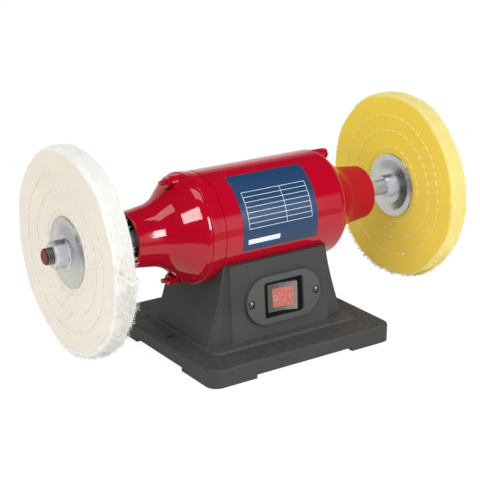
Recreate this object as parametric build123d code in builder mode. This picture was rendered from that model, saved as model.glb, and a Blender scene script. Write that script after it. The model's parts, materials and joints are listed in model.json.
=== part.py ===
from build123d import *
import os
from math import atan2, cos, radians, sin, sqrt, tan

# Bench buffer: an electric motor in the saddle of a cast pedestal, with a long spindle out of each
# end bell and a cloth buffing wheel clamped between two flanges on each end of the spindle.
# Millimetres. X runs along the spindle, -Y is the front with the switch, Z is up.
# The origin is the middle of the underside of the base.

os.makedirs("parts", exist_ok=True)

# Common fits
fit_gap = 0.1
loose_gap = 0.4
sheet = 1.5

# Base casting: foot plate
base_width = 224.0
base_depth = 205.0
base_corner = 12.0
foot_height = 19.0
foot_wall = 6.0
foot_skin = 6.0
foot_edge_round = 2.5
pad_height = 4.0
pad_gap_x = 119.0
pad_gap_y = 90.0
plinth_width = 180.0
plinth_depth = 144.0
plinth_corner = 9.0
plinth_height = 2.0
plinth_taper = 45.0
mount_spacing = 197.0
mount_hole_radius = 4.5
mount_boss_radius = 9.0

# Base casting: pedestal and saddle
spindle_height = 132.0
saddle_depth = 30.2
saddle_lip = 5.8
saddle_thickness = 11.5
panel_width = 119.0
panel_foot_depth = 120.0
flank_top_width = 127.0
flank_foot_width = 171.0
flare_power = 1.3
ridge_setback_top = 5.5
ridge_setback_foot = 10.0
corner_scallop = 0.16
pedestal_levels = 4
panel_wall = 8.0
flank_wall = 11.0
cavity_corner = 18.0

# Bottom cover
cover_screw_x = 180.0
cover_screw_y = 160.0
cover_boss_radius = 5.0
cover_screw_length = 7.0
cover_screw_tip = 1.0

# Motor shell
shell_radius = 56.5
shell_wall = 2.5
shell_length = 144.0
shell_groove_inset = 8.0
shell_groove_width = 1.4
shell_groove_depth = 0.6

# End bells
bell_length = 74.0
bell_bead_height = 1.0
bell_bead_width = 7.5
bell_spigot_length = 8.0
bell_spigot_wall = 3.0
bell_wall = 4.5
bell_shoulder = 11.7
bell_shoulder_round = 10.0
bell_neck = 35.7
throat_radius = 32.8
throat_round = 40.0
nose_radius = 28.4
nose_wall = 2.6
nose_round = 1.0
nose_recess = 9.0
hub_lip = 3.5
hub_gap = 0.4
hub_back_radius = 25.0

# Bearings, with their circlips and the preload washer
bearing_bore_radius = 8.5
bearing_radius = 20.0
bearing_width = 12.0
ball_radius = 3.37
ball_count = 8
ball_gap = 0.1
race_land = 2.0
seal_thickness = 0.8
cage_width = 8.6
cage_thickness = 1.4
circlip_width = 1.2
circlip_depth = 1.2
circlip_radial = 2.6
circlip_opening = 40.0
circlip_eye = 2.2
washer_height = 1.0
washer_thickness = 0.5

# Through-bolts of the motor
bolt_circle = 51.2
bolt_radius = 2.5
bolt_gap = 0.3
bolt_notch = 4.2
bolt_across_flats = 10.0
bolt_head = 4.0
bolt_nut = 5.0
bolt_washer_radius = 5.6
bolt_washer = 1.6
bolt_tip = 6.4
lug_radius = 5.8
lug_length = 21.0
lug_root = 9.0
lug_spotface = 8.0
lug_spotface_length = 20.0

# Hold-down bolts of the motor
hold_spacing_x = 76.0
hold_spacing_y = 36.0
hold_nut_size = 12.0
hold_nut_edge = 2.0
lead_hole_x = 51.0
lead_hole_radius = 6.0

# Stator and rotor
stator_length = 60.0
stator_bore_radius = 31.0
slot_count = 24
slot_width = 3.6
slot_root_radius = 44.0
slot_mouth_width = 1.6
slot_mouth_depth = 2.0
winding_overhang = 20.0
winding_inner = 34.0
winding_outer = 46.0
winding_round = 4.0
air_gap = 0.5
rotor_ring_length = 8.0
rotor_ring_inner = 17.0
rotor_ring_inset = 1.5
rotor_fin_count = 8
rotor_fin_length = 5.0
rotor_fin_width = 3.0
rotor_fin_height = 7.0

# Spindle
spindle_body_radius = 10.0
spindle_end_radius = 8.0
spindle_reach = 32.0
spindle_chamfer = 1.2
spindle_tip = 8.0

# Wheel clamping: collar, flanges, wheel and nut
collar_radius = 12.3
collar_length = 10.5
flange_radius = 35.5
flange_sheet = 2.5
flange_rim = 7.0
flange_crown_radius = 19.0
inner_dish = 2.5
outer_dish = 2.5
flange_crown_round = 10.0
flange_rim_round = 5.0
flange_edge_round = 0.8
wheel_radius = 102.0
wheel_hub_width = 15.0
wheel_rim_width = 24.0
wheel_hub_margin = 2.0
wheel_hub_round = 25.0
wheel_flare_radius = 66.0
wheel_flare_round = 100.0
wheel_edge_round = 3.0
nut_across_flats = 24.0
nut_width = 13.0
nut_turn = 49.0

# Switch
switch_x = 2.5
switch_height = 59.0
plate_length = 92.0
plate_width = 51.0
plate_thickness = 4.5
plate_edge_round = 1.0
plate_screw_spacing = 80.5
opening_width = 48.0
opening_height = 37.6
opening_corner = 3.0
bezel_thickness = 0.8
window_width = 36.6
window_height = 30.8
window_corner = 1.0
housing_wall = 2.0
housing_depth = 24.0
window_depth = 10.0
rocker_width = 33.8
rocker_height = 29.6
rocker_throw = 11.0
rocker_crown = 4.3
rocker_skirt = 2.0
rocker_edge_round = 0.8
rocker_valley_round = 10.0
rocker_pivot_depth = 4.2
rocker_pin_radius = 1.5
rocker_pin_length = 1.4
rocker_pin_gap = 0.06
terminal_width = 6.3
terminal_thickness = 0.8
terminal_length = 9.0
terminal_spacing_x = 14.0
terminal_spacing_y = 13.0

# Pan-head screws
screw_radius = 2.0
screw_head_radius = 4.2
screw_head_height = 2.2
screw_recess_radius = 1.7
screw_recess_depth = 1.2
plate_screw_length = 9.0

# Electrical pieces on the bottom cover
capacitor_radius = 17.5
capacitor_length = 64.0
capacitor_y = 22.0
capacitor_round = 2.0
clip_width = 16.0
clip_foot = 11.0
block_length = 56.0
block_width = 18.0
block_height = 15.0
block_y = -26.0
block_ways = 4
block_pitch = 11.0
block_well_radius = 2.6
block_well_depth = 9.0
block_screw_inset = 5.0
earth_x = 62.0
grommet_x = 38.0
grommet_height = 42.0
grommet_bore_radius = 4.5
grommet_hole_radius = 8.0
grommet_flange_radius = 11.0
grommet_flange = 2.5

# Places worked out from the sizes above
shell_end = shell_length / 2
shell_inner = shell_radius - shell_wall
nose_x = shell_end + bell_length
recess_x = nose_x - nose_recess
bearing_x = recess_x - 2 * circlip_width - bearing_width
circlip_x = bearing_x + bearing_width
pitch_radius = (bearing_bore_radius + bearing_radius) / 2
collar_x = nose_x + spindle_reach
flange_x = collar_x + collar_length
wheel_x = flange_x + inner_dish + flange_sheet
wheel_end = wheel_x + wheel_hub_width
nut_x = wheel_end + flange_sheet + outer_dish
spindle_end = nut_x + nut_width + spindle_tip
lug_face = shell_end + lug_length
saddle_top = spindle_height - saddle_depth
cavity_ceiling = spindle_height - shell_radius - saddle_thickness
cavity_floor = foot_height - foot_skin
cover_top = pad_height + sheet
seat_radius = shell_radius + fit_gap
saddle_half = sqrt(seat_radius**2 - saddle_depth**2)
panel_top_y = saddle_half + saddle_lip
panel_foot_y = panel_foot_depth / 2
panel_tilt = atan2(panel_foot_y - panel_top_y, saddle_top - foot_height)
spigot_outer = shell_inner - fit_gap
spigot_inner = spigot_outer - bell_spigot_wall
shoulder_x = shell_end + bell_shoulder
throat_x = nose_x - bell_neck
bearing_seat = bearing_radius + fit_gap
inner_land = pitch_radius - race_land
outer_land = pitch_radius + race_land
hub_inner = outer_land + hub_gap
washer_face = lug_face + bolt_washer
hold_nut_y = (hold_spacing_y + hold_nut_size) / 2
hold_nut_top = spindle_height - sqrt(shell_inner**2 - hold_nut_y**2) + hold_nut_edge
stator_end = stator_length / 2
slot_foot = stator_bore_radius + slot_mouth_depth
winding_start = stator_end + loose_gap
spindle_bore = spindle_end_radius + fit_gap
capacitor_rise = capacitor_radius + fit_gap
rocker_pin_reach = rocker_height / 2 + rocker_pin_length
spindle_axis = Axis((0, 0, spindle_height), (1, 0, 0))


def save(piece, name):
    """Label a finished piece and write its STEP file."""
    piece.part.label = name
    export_step(piece.part, f"parts/{name}.step")


def profile_plane(side=1):
    """Plane of a turned profile: x runs outward along the spindle on that side, y is the radius."""
    return Plane(origin=(0, 0, spindle_height), x_dir=(side, 0, 0), z_dir=(0, -side, 0))


def cross_plane(x, side=1):
    """Plane square to the spindle, x out from the middle on that side, facing outward, with y up."""
    return Plane(origin=(side * x, 0, spindle_height), x_dir=(0, side, 0), z_dir=(side, 0, 0))


def turned(side, points, radii):
    """A piece turned about the spindle from a closed profile with a round at each corner."""
    with BuildPart() as piece:
        with BuildSketch(profile_plane(side)):
            with BuildLine():
                FilletPolyline(points, radius=radii, close=True)
            make_face()
        revolve(axis=spindle_axis)
    return piece


def ring(side, start, end, inner, outer):
    """A plain ring about the spindle, from start to end along it."""
    corners = [(start, inner), (start, outer), (end, outer), (end, inner)]
    return turned(side, corners, [0] * len(corners))


def drop_at(level):
    """How far a level of the pedestal lies below the saddle: 0 at its top, 1 at the foot plate."""
    return (saddle_top - level) / (saddle_top - foot_height)


def panel_y(level):
    """Distance of the front and rear panels from the middle at a level."""
    return panel_top_y + (panel_foot_y - panel_top_y) * drop_at(level)


def flank_x(level):
    """Distance of the flared flanks from the middle at a level."""
    return (flank_top_width + (flank_foot_width - flank_top_width) * drop_at(level) ** flare_power) / 2


def pedestal_section(level):
    """Outline of the pedestal at a level: flat panels and flanks joined by scalloped corners."""
    setback = ridge_setback_top + (ridge_setback_foot - ridge_setback_top) * drop_at(level)
    edge = Vector(panel_width / 2, -panel_y(level))
    ridge = Vector(flank_x(level), setback - panel_y(level))
    chord = ridge - edge
    hollow = (edge + ridge) / 2 + Vector(-chord.Y, chord.X) * corner_scallop
    with BuildSketch(Plane.XY.offset(level)) as section:
        with BuildLine():
            Line((0, edge.Y), edge)
            ThreePointArc(edge, hollow, ridge)
            Line(ridge, (ridge.X, 0))
            mirror(about=Plane.XZ)
            mirror(about=Plane.YZ)
        make_face()
    return section.sketch


def cavity_section(level, flare_level):
    """Outline of the hollow of the pedestal, at a level, inside the walls of another level."""
    with BuildSketch(Plane.XY.offset(level)) as section:
        RectangleRounded(
            2 * (flank_x(flare_level) - flank_wall), 2 * (panel_y(flare_level) - panel_wall), cavity_corner
        )
    return section.sketch


def panel_plane(x, level, front=True):
    """Plane on the front or rear panel, facing outward, with its y up the panel."""
    way = -1 if front else 1
    return Plane(
        origin=(x, way * panel_y(level), level),
        x_dir=(-way, 0, 0),
        z_dir=(0, way * cos(panel_tilt), sin(panel_tilt)),
    )


switch_plane = panel_plane(switch_x, switch_height)
plate_screw_places = GridLocations(plate_screw_spacing, 1, 2, 1)
cover_screw_places = GridLocations(cover_screw_x, cover_screw_y, 2, 2)
mount_places = GridLocations(mount_spacing, 1, 2, 1)
hold_places = GridLocations(hold_spacing_x, hold_spacing_y, 2, 2)
bolt_places = Locations((0, bolt_circle), (0, -bolt_circle))
clip_screw_reach = capacitor_radius + sheet + clip_foot / 2
clip_screw_places = Locations((0, capacitor_y - clip_screw_reach), (0, capacitor_y + clip_screw_reach))
block_screw_x = block_length / 2 - block_screw_inset
block_screw_places = Locations((-block_screw_x, block_y), (block_screw_x, block_y))
earth_place = Locations((earth_x, 0))
housing_width = window_width + 2 * housing_wall
housing_height = window_height + 2 * housing_wall
rocker_plane = Plane(
    origin=switch_plane.from_local_coords((0, 0, -rocker_pivot_depth)),
    x_dir=switch_plane.x_dir,
    z_dir=-switch_plane.y_dir,
)
inlet_plane = panel_plane(grommet_x, grommet_height, front=False)
capacitor_plane = Plane(origin=(0, capacitor_y, cover_top + capacitor_rise), x_dir=(0, 1, 0), z_dir=(1, 0, 0))
underside = Plane(origin=(0, 0, pad_height), x_dir=(1, 0, 0), z_dir=(0, 0, -1))


def pan_screws(plane, places, length):
    """Pan-head screws with a round drive recess, their heads standing on a plane."""
    with BuildPart() as screws:
        with BuildSketch(plane):
            with places:
                Circle(screw_radius)
        extrude(amount=-length)
        with BuildSketch(plane):
            with places:
                Circle(screw_head_radius)
        extrude(amount=screw_head_height)
        crowns = screws.edges().filter_by(GeomType.CIRCLE).group_by(Axis(plane.origin, plane.z_dir))[-1]
        fillet(crowns, screw_head_height / 2)
        with BuildSketch(plane.offset(screw_head_height)):
            with places:
                Circle(screw_recess_radius)
        extrude(amount=-screw_recess_depth, mode=Mode.SUBTRACT)
    return screws


# Base casting
with BuildPart() as base_casting:
    with BuildSketch(Plane.XY):
        RectangleRounded(base_width, base_depth, base_corner)
    extrude(amount=foot_height)
    fillet(base_casting.edges().group_by(Axis.Z)[-1], foot_edge_round)
    with BuildSketch(Plane.XY.offset(foot_height)):
        RectangleRounded(plinth_width, plinth_depth, plinth_corner)
    extrude(amount=plinth_height, taper=plinth_taper)
    rise = (saddle_top - foot_height) / (pedestal_levels - 1)
    loft([pedestal_section(foot_height + rise * step) for step in range(pedestal_levels)])
    # Saddle for the motor
    with BuildSketch(cross_plane(-flank_foot_width / 2)):
        Circle(seat_radius)
    extrude(amount=flank_foot_width, mode=Mode.SUBTRACT)
    # Hollow underside and pedestal
    with BuildSketch(Plane.XY):
        RectangleRounded(base_width - 2 * foot_wall, base_depth - 2 * foot_wall, base_corner - foot_wall)
    extrude(amount=cavity_floor, mode=Mode.SUBTRACT)
    hollow = [cavity_section(cavity_floor, foot_height), cavity_section(cavity_ceiling, cavity_ceiling)]
    loft(hollow, mode=Mode.SUBTRACT)
    # Bosses for the bench bolts and the cover screws
    with BuildSketch(Plane.XY.offset(pad_height)):
        with mount_places:
            Circle(mount_boss_radius)
    extrude(amount=cavity_floor - pad_height)
    with BuildSketch(Plane.XY.offset(cover_top)):
        with cover_screw_places:
            Circle(cover_boss_radius)
    extrude(amount=cavity_floor - cover_top)
    # Relief between the corner pads
    with BuildSketch(Plane.XY):
        Rectangle(pad_gap_x, base_depth)
        Rectangle(base_width, pad_gap_y)
    extrude(amount=pad_height, mode=Mode.SUBTRACT)
    # Holes: bench bolts, cover screws, motor bolts, leads, switch and cable inlet
    with BuildSketch(Plane.XY):
        with mount_places:
            Circle(mount_hole_radius)
    extrude(amount=foot_height, mode=Mode.SUBTRACT)
    with BuildSketch(Plane.XY.offset(cover_top)):
        with cover_screw_places:
            Circle(screw_radius)
    extrude(amount=cover_screw_length, mode=Mode.SUBTRACT)
    with BuildSketch(Plane.XY.offset(cavity_ceiling)):
        with hold_places:
            Circle(bolt_radius + bolt_gap)
        with Locations((lead_hole_x, 0)):
            Circle(lead_hole_radius)
    extrude(amount=saddle_depth, mode=Mode.SUBTRACT)
    with BuildSketch(switch_plane):
        with plate_screw_places:
            Circle(screw_radius)
    extrude(amount=-plate_screw_length, mode=Mode.SUBTRACT)
    with BuildSketch(switch_plane):
        Rectangle(housing_width + 2 * fit_gap, housing_height + 2 * fit_gap)
    extrude(amount=-housing_depth - terminal_length - loose_gap, mode=Mode.SUBTRACT)
    with BuildSketch(inlet_plane):
        Circle(grommet_hole_radius)
    extrude(amount=-panel_wall - loose_gap, mode=Mode.SUBTRACT)
save(base_casting, "base_casting")


# Bottom cover, notched round the bench-bolt bosses
with BuildPart() as bottom_cover:
    with BuildSketch(Plane.XY.offset(pad_height)):
        RectangleRounded(
            base_width - 2 * foot_wall - 2 * loose_gap,
            base_depth - 2 * foot_wall - 2 * loose_gap,
            base_corner - foot_wall,
        )
        with mount_places:
            Circle(mount_boss_radius + loose_gap, mode=Mode.SUBTRACT)
        for side in (-1, 1):
            with Locations((side * (mount_spacing + base_width / 2) / 2, 0)):
                Rectangle(base_width / 2, 2 * (mount_boss_radius + loose_gap), mode=Mode.SUBTRACT)
        for places in (cover_screw_places, clip_screw_places, block_screw_places, earth_place):
            with places:
                Circle(screw_radius, mode=Mode.SUBTRACT)
    extrude(amount=sheet)
save(bottom_cover, "bottom_cover")
save(pan_screws(underside, cover_screw_places, cover_screw_length), "bottom_cover_screws")


# Switch plate, with its screws
with BuildPart() as switch_plate:
    with BuildSketch(switch_plane):
        SlotOverall(plate_length, plate_width)
        RectangleRounded(opening_width, opening_height, opening_corner, mode=Mode.SUBTRACT)
        with plate_screw_places:
            Circle(screw_radius + fit_gap, mode=Mode.SUBTRACT)
    extrude(amount=plate_thickness)
    outside = switch_plate.faces().sort_by(Axis(switch_plane.origin, switch_plane.z_dir))[-1]
    opening = outside.inner_wires().sort_by(SortBy.LENGTH)[-1]
    fillet(outside.outer_wire().edges() + opening.edges(), plate_edge_round)
save(switch_plate, "switch_plate")
save(
    pan_screws(switch_plane.offset(plate_thickness), plate_screw_places, plate_screw_length),
    "switch_plate_screws",
)


# Switch housing: bezel, body and the window that the rocker turns in
with BuildPart() as switch_housing:
    with BuildSketch(switch_plane):
        RectangleRounded(opening_width - 2 * fit_gap, opening_height - 2 * fit_gap, opening_corner)
    extrude(amount=bezel_thickness)
    with BuildSketch(switch_plane):
        Rectangle(housing_width, housing_height)
    extrude(amount=-housing_depth)
    with BuildSketch(switch_plane.offset(bezel_thickness)):
        RectangleRounded(window_width, window_height, window_corner)
    extrude(amount=-bezel_thickness - window_depth, mode=Mode.SUBTRACT)
    with BuildSketch(rocker_plane):
        Circle(rocker_pin_radius + rocker_pin_gap)
    extrude(amount=rocker_pin_reach + rocker_pin_gap, both=True, mode=Mode.SUBTRACT)
save(switch_housing, "switch_housing")


# Rocker, stored switched off with its left side pressed in
with BuildPart() as rocker:
    tip = rocker_crown + rocker_width / 2 * tan(radians(rocker_throw))
    with BuildSketch(rocker_plane.rotated((0, 0, -rocker_throw))):
        with BuildLine():
            FilletPolyline(
                (-rocker_width / 2, -rocker_skirt),
                (-rocker_width / 2, tip),
                (0, rocker_crown),
                (rocker_width / 2, tip),
                (rocker_width / 2, -rocker_skirt),
                radius=[0, rocker_edge_round, rocker_valley_round, rocker_edge_round, 0],
                close=True,
            )
        make_face()
    extrude(amount=rocker_height / 2, both=True)
    with BuildSketch(rocker_plane):
        Circle(rocker_pin_radius)
    extrude(amount=rocker_pin_reach, both=True)
save(rocker, "rocker")


# Spade terminals behind the switch
with BuildPart() as switch_terminals:
    with BuildSketch(switch_plane.offset(-housing_depth)):
        with GridLocations(terminal_spacing_x, terminal_spacing_y, 2, 2):
            Rectangle(terminal_thickness, terminal_width)
    extrude(amount=-terminal_length)
save(switch_terminals, "switch_terminals")


# Run capacitor in its clip, on the bottom cover
with BuildPart() as run_capacitor:
    with BuildSketch(capacitor_plane.offset(-capacitor_length / 2)):
        Circle(capacitor_radius)
    extrude(amount=capacitor_length)
    fillet(run_capacitor.edges().filter_by(GeomType.CIRCLE), capacitor_round)
save(run_capacitor, "run_capacitor")

with BuildPart() as capacitor_clip:
    strap = capacitor_radius + sheet
    with BuildSketch(capacitor_plane.offset(-clip_width / 2)):
        Circle(strap)
        Rectangle(2 * strap, strap, align=(Align.CENTER, Align.MAX), mode=Mode.SUBTRACT)
        with Locations((0, -capacitor_rise)):
            Rectangle(2 * strap, capacitor_rise, align=(Align.CENTER, Align.MIN))
            Rectangle(2 * (strap + clip_foot), sheet, align=(Align.CENTER, Align.MIN))
        Circle(capacitor_rise, mode=Mode.SUBTRACT)
        Rectangle(2 * capacitor_rise, capacitor_rise, align=(Align.CENTER, Align.MAX), mode=Mode.SUBTRACT)
    extrude(amount=clip_width)
    with BuildSketch(Plane.XY.offset(cover_top)):
        with clip_screw_places:
            Circle(screw_radius)
    extrude(amount=sheet, mode=Mode.SUBTRACT)
save(capacitor_clip, "capacitor_clip")
save(
    pan_screws(Plane.XY.offset(cover_top + sheet), clip_screw_places, 2 * sheet + cover_screw_tip),
    "capacitor_clip_screws",
)


# Terminal block and earth screw
with BuildPart() as terminal_block:
    with BuildSketch(Plane.XY.offset(cover_top)):
        with Locations((0, block_y)):
            Rectangle(block_length, block_width)
        with block_screw_places:
            Circle(screw_radius, mode=Mode.SUBTRACT)
    extrude(amount=block_height)
    with BuildSketch(Plane.XY.offset(cover_top + block_height)):
        with Locations((0, block_y)):
            with GridLocations(block_pitch, 1, block_ways, 1):
                Circle(block_well_radius)
    extrude(amount=-block_well_depth, mode=Mode.SUBTRACT)
save(terminal_block, "terminal_block")
save(
    pan_screws(
        Plane.XY.offset(cover_top + block_height),
        block_screw_places,
        block_height + sheet + cover_screw_tip,
    ),
    "terminal_block_screws",
)
save(pan_screws(Plane.XY.offset(cover_top), earth_place, sheet + cover_screw_tip), "earth_screw")


# Rubber grommet of the cable inlet in the rear panel
with BuildPart() as cable_grommet:
    with BuildSketch(inlet_plane):
        Circle(grommet_flange_radius)
    extrude(amount=grommet_flange)
    fillet(
        cable_grommet.edges().group_by(Axis(inlet_plane.origin, inlet_plane.z_dir))[-1],
        grommet_flange / 2,
    )
    with BuildSketch(inlet_plane):
        Circle(grommet_hole_radius - fit_gap)
    extrude(amount=-panel_wall)
    with BuildSketch(inlet_plane.offset(grommet_flange)):
        Circle(grommet_bore_radius)
    extrude(amount=-grommet_flange - panel_wall, mode=Mode.SUBTRACT)
save(cable_grommet, "cable_grommet")


# Motor shell, with a rolled groove near its left end
with BuildPart() as motor_shell:
    with BuildSketch(cross_plane(-shell_end)):
        Circle(shell_radius)
        Circle(shell_inner, mode=Mode.SUBTRACT)
    extrude(amount=shell_length)
    with BuildSketch(profile_plane()):
        with Locations((shell_groove_inset - shell_end, shell_radius)):
            Rectangle(shell_groove_width, 2 * shell_groove_depth)
    revolve(axis=spindle_axis, mode=Mode.SUBTRACT)
    with BuildSketch(Plane.XY.offset(spindle_height - shell_radius)):
        with hold_places:
            Circle(bolt_radius + bolt_gap)
        with Locations((lead_hole_x, 0)):
            Circle(lead_hole_radius)
    extrude(amount=shell_radius, mode=Mode.SUBTRACT)
save(motor_shell, "motor_shell")


# Weld nuts inside the shell, and the bolts that hold the motor down in its saddle
with BuildPart() as motor_weld_nuts:
    with BuildSketch(Plane.XY.offset(hold_nut_top)):
        with hold_places:
            Rectangle(hold_nut_size, hold_nut_size)
            Circle(bolt_radius, mode=Mode.SUBTRACT)
    extrude(amount=-saddle_depth)
    with BuildSketch(cross_plane(-shell_end)):
        Circle(shell_inner)
    extrude(amount=shell_length, mode=Mode.INTERSECT)
save(motor_weld_nuts, "motor_weld_nuts")

with BuildPart() as motor_bolts:
    with BuildSketch(Plane.XY.offset(cavity_ceiling)):
        with hold_places:
            Circle(bolt_radius)
    extrude(amount=hold_nut_top - cavity_ceiling)
    with BuildSketch(Plane.XY.offset(cavity_ceiling)):
        with hold_places:
            RegularPolygon(bolt_across_flats / 2, 6, major_radius=False)
    extrude(amount=-bolt_head)
save(motor_bolts, "motor_bolts")


def end_bell(side, seat_depth, rim):
    """End bell: a rim on the shell, a flare with two bolt lugs, and a hollow nose round a bearing."""
    cone = atan2(shell_radius - throat_radius, throat_x - shoulder_x)
    inner_throat = (throat_x - bell_wall * sin(cone), throat_radius - bell_wall * cos(cone))
    inner_shoulder_x = inner_throat[0] - (spigot_inner - inner_throat[1]) / tan(cone)
    seat_x = bearing_x - seat_depth
    outline = [
        ((shell_end - bell_spigot_length, spigot_inner), 0),
        ((shell_end - bell_spigot_length, spigot_outer), 0),
        ((shell_end, spigot_outer), 0),
        *rim,
        ((shoulder_x, shell_radius), bell_shoulder_round),
        ((throat_x, throat_radius), throat_round),
        ((nose_x, nose_radius), nose_round),
        ((nose_x, nose_radius - nose_wall), nose_round),
        ((recess_x, nose_radius - nose_wall), 0),
        ((recess_x, bearing_seat), 0),
        ((circlip_x + circlip_width, bearing_seat), 0),
        ((circlip_x + circlip_width, bearing_seat + circlip_depth), 0),
        ((circlip_x, bearing_seat + circlip_depth), 0),
        ((circlip_x, bearing_seat), 0),
        ((seat_x, bearing_seat), 0),
        ((seat_x, hub_inner), 0),
        ((seat_x - hub_lip, hub_inner), 0),
        ((seat_x - hub_lip, hub_back_radius), 0),
        (inner_throat, 0),
        ((inner_shoulder_x, spigot_inner), 0),
    ]
    with BuildPart() as bell:
        with BuildSketch(profile_plane(side)):
            with BuildLine():
                FilletPolyline([point for point, _ in outline], radius=[r for _, r in outline], close=True)
            make_face()
        revolve(axis=spindle_axis)
        with BuildSketch(cross_plane(shell_end + lug_root, side)):
            with bolt_places:
                Circle(lug_radius)
        extrude(amount=lug_length - lug_root)
        with BuildSketch(cross_plane(lug_face, side)):
            with bolt_places:
                Circle(lug_spotface)
        extrude(amount=lug_spotface_length, mode=Mode.SUBTRACT)
        with BuildSketch(cross_plane(lug_face, side)):
            with bolt_places:
                Circle(bolt_radius + bolt_gap)
        extrude(amount=-lug_length, mode=Mode.SUBTRACT)
        with BuildSketch(cross_plane(shell_end, side)):
            with bolt_places:
                Circle(bolt_notch)
        extrude(amount=-bell_spigot_length, mode=Mode.SUBTRACT)
    return bell


beaded_rim = [
    ((shell_end, shell_radius + bell_bead_height), bell_bead_height / 2),
    ((shell_end + bell_bead_width, shell_radius + bell_bead_height), bell_bead_height / 2),
    ((shell_end + bell_bead_width, shell_radius), 0),
]
flush_rim = [((shell_end, shell_radius), 0)]
save(end_bell(-1, washer_height, beaded_rim), "end_bell_left")
save(end_bell(1, 0, flush_rim), "end_bell_right")


# Through-bolts, heads on the right and nuts on the left, with a washer at each end
with BuildPart() as through_bolts:
    with BuildSketch(cross_plane(washer_face)):
        with bolt_places:
            Circle(bolt_radius)
    extrude(amount=-2 * washer_face - bolt_nut - bolt_tip)
    with BuildSketch(cross_plane(washer_face)):
        with bolt_places:
            RegularPolygon(bolt_across_flats / 2, 6, major_radius=False)
    extrude(amount=bolt_head)
save(through_bolts, "through_bolts")

with BuildPart() as through_bolt_washers:
    for side in (-1, 1):
        with BuildSketch(cross_plane(lug_face, side)):
            with bolt_places:
                Circle(bolt_washer_radius)
                Circle(bolt_radius + fit_gap, mode=Mode.SUBTRACT)
        extrude(amount=bolt_washer)
save(through_bolt_washers, "through_bolt_washers")

with BuildPart() as through_bolt_nuts:
    with BuildSketch(cross_plane(washer_face, -1)):
        with bolt_places:
            RegularPolygon(bolt_across_flats / 2, 6, major_radius=False)
            Circle(bolt_radius, mode=Mode.SUBTRACT)
    extrude(amount=bolt_nut)
save(through_bolt_nuts, "through_bolt_nuts")


# Stator: slotted core, and a winding that fills the slots and overhangs both ends
with BuildPart() as stator_core:
    with BuildSketch(cross_plane(-stator_end)):
        Circle(shell_inner - fit_gap)
        Circle(stator_bore_radius, mode=Mode.SUBTRACT)
        with PolarLocations((slot_foot + slot_root_radius) / 2, slot_count):
            Rectangle(slot_root_radius - slot_foot, slot_width, mode=Mode.SUBTRACT)
        with PolarLocations(stator_bore_radius, slot_count):
            Rectangle(2 * slot_mouth_depth + fit_gap, slot_mouth_width, mode=Mode.SUBTRACT)
        with bolt_places:
            Circle(bolt_notch, mode=Mode.SUBTRACT)
    extrude(amount=stator_length)
save(stator_core, "stator_core")

with BuildPart() as stator_winding:
    with BuildSketch(cross_plane(-winding_start)):
        with PolarLocations((slot_foot + slot_root_radius) / 2, slot_count):
            Rectangle(slot_root_radius - slot_foot - 2 * loose_gap, slot_width - 2 * loose_gap)
    extrude(amount=2 * winding_start)
    for side in (-1, 1):
        with BuildSketch(profile_plane(side)):
            with Locations((winding_start + winding_overhang / 2, (winding_inner + winding_outer) / 2)):
                RectangleRounded(winding_overhang + 2 * fit_gap, winding_outer - winding_inner, winding_round)
        revolve(axis=spindle_axis)
save(stator_winding, "stator_winding")


# Rotor on the spindle: laminated core between two end rings with stirring fins
rotor_radius = stator_bore_radius - air_gap
save(ring(1, -stator_end, stator_end, spindle_body_radius, rotor_radius), "rotor_core")


def rotor_ring(side):
    """Cast end ring of the rotor cage, with its fins."""
    outer = rotor_radius - rotor_ring_inset
    with BuildPart() as end_ring:
        with BuildSketch(cross_plane(stator_end, side)):
            Circle(outer)
            Circle(rotor_ring_inner, mode=Mode.SUBTRACT)
        extrude(amount=rotor_ring_length)
        with BuildSketch(cross_plane(stator_end + rotor_ring_length, side)):
            with PolarLocations((outer + rotor_ring_inner) / 2, rotor_fin_count):
                Rectangle(rotor_fin_height, rotor_fin_width)
        extrude(amount=rotor_fin_length)
    return end_ring


def bearing_race(side, inner, outer):
    """A race of a ball bearing, with its groove."""
    with BuildPart() as race:
        with BuildSketch(profile_plane(side)):
            with Locations((bearing_x + bearing_width / 2, (inner + outer) / 2)):
                Rectangle(bearing_width, outer - inner)
            with Locations((bearing_x + bearing_width / 2, pitch_radius)):
                Circle(ball_radius + ball_gap, mode=Mode.SUBTRACT)
        revolve(axis=spindle_axis)
    return race


def bearing_balls(side):
    """The balls of a bearing."""
    with BuildPart() as balls:
        with Locations(cross_plane(bearing_x + bearing_width / 2, side)):
            with PolarLocations(pitch_radius, ball_count):
                Sphere(ball_radius)
    return balls


def bearing_cage(side):
    """The cage of a bearing: a ring with a pocket for each ball."""
    middle = bearing_x + bearing_width / 2
    with BuildPart() as cage:
        with BuildSketch(cross_plane(middle - cage_width / 2, side)):
            Circle(pitch_radius + cage_thickness / 2)
            Circle(pitch_radius - cage_thickness / 2, mode=Mode.SUBTRACT)
        extrude(amount=cage_width)
        with Locations(cross_plane(middle, side)):
            with PolarLocations(pitch_radius, ball_count):
                Cylinder(ball_radius + ball_gap, 4 * cage_thickness, rotation=(0, 90, 0), mode=Mode.SUBTRACT)
    return cage


def bearing_seals(side):
    """The two seals of a bearing, held in the outer race."""
    with BuildPart() as seals:
        for start in (bearing_x, bearing_x + bearing_width - seal_thickness):
            with BuildSketch(cross_plane(start, side)):
                Circle(outer_land)
                Circle(inner_land + loose_gap, mode=Mode.SUBTRACT)
            extrude(amount=seal_thickness)
    return seals


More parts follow.
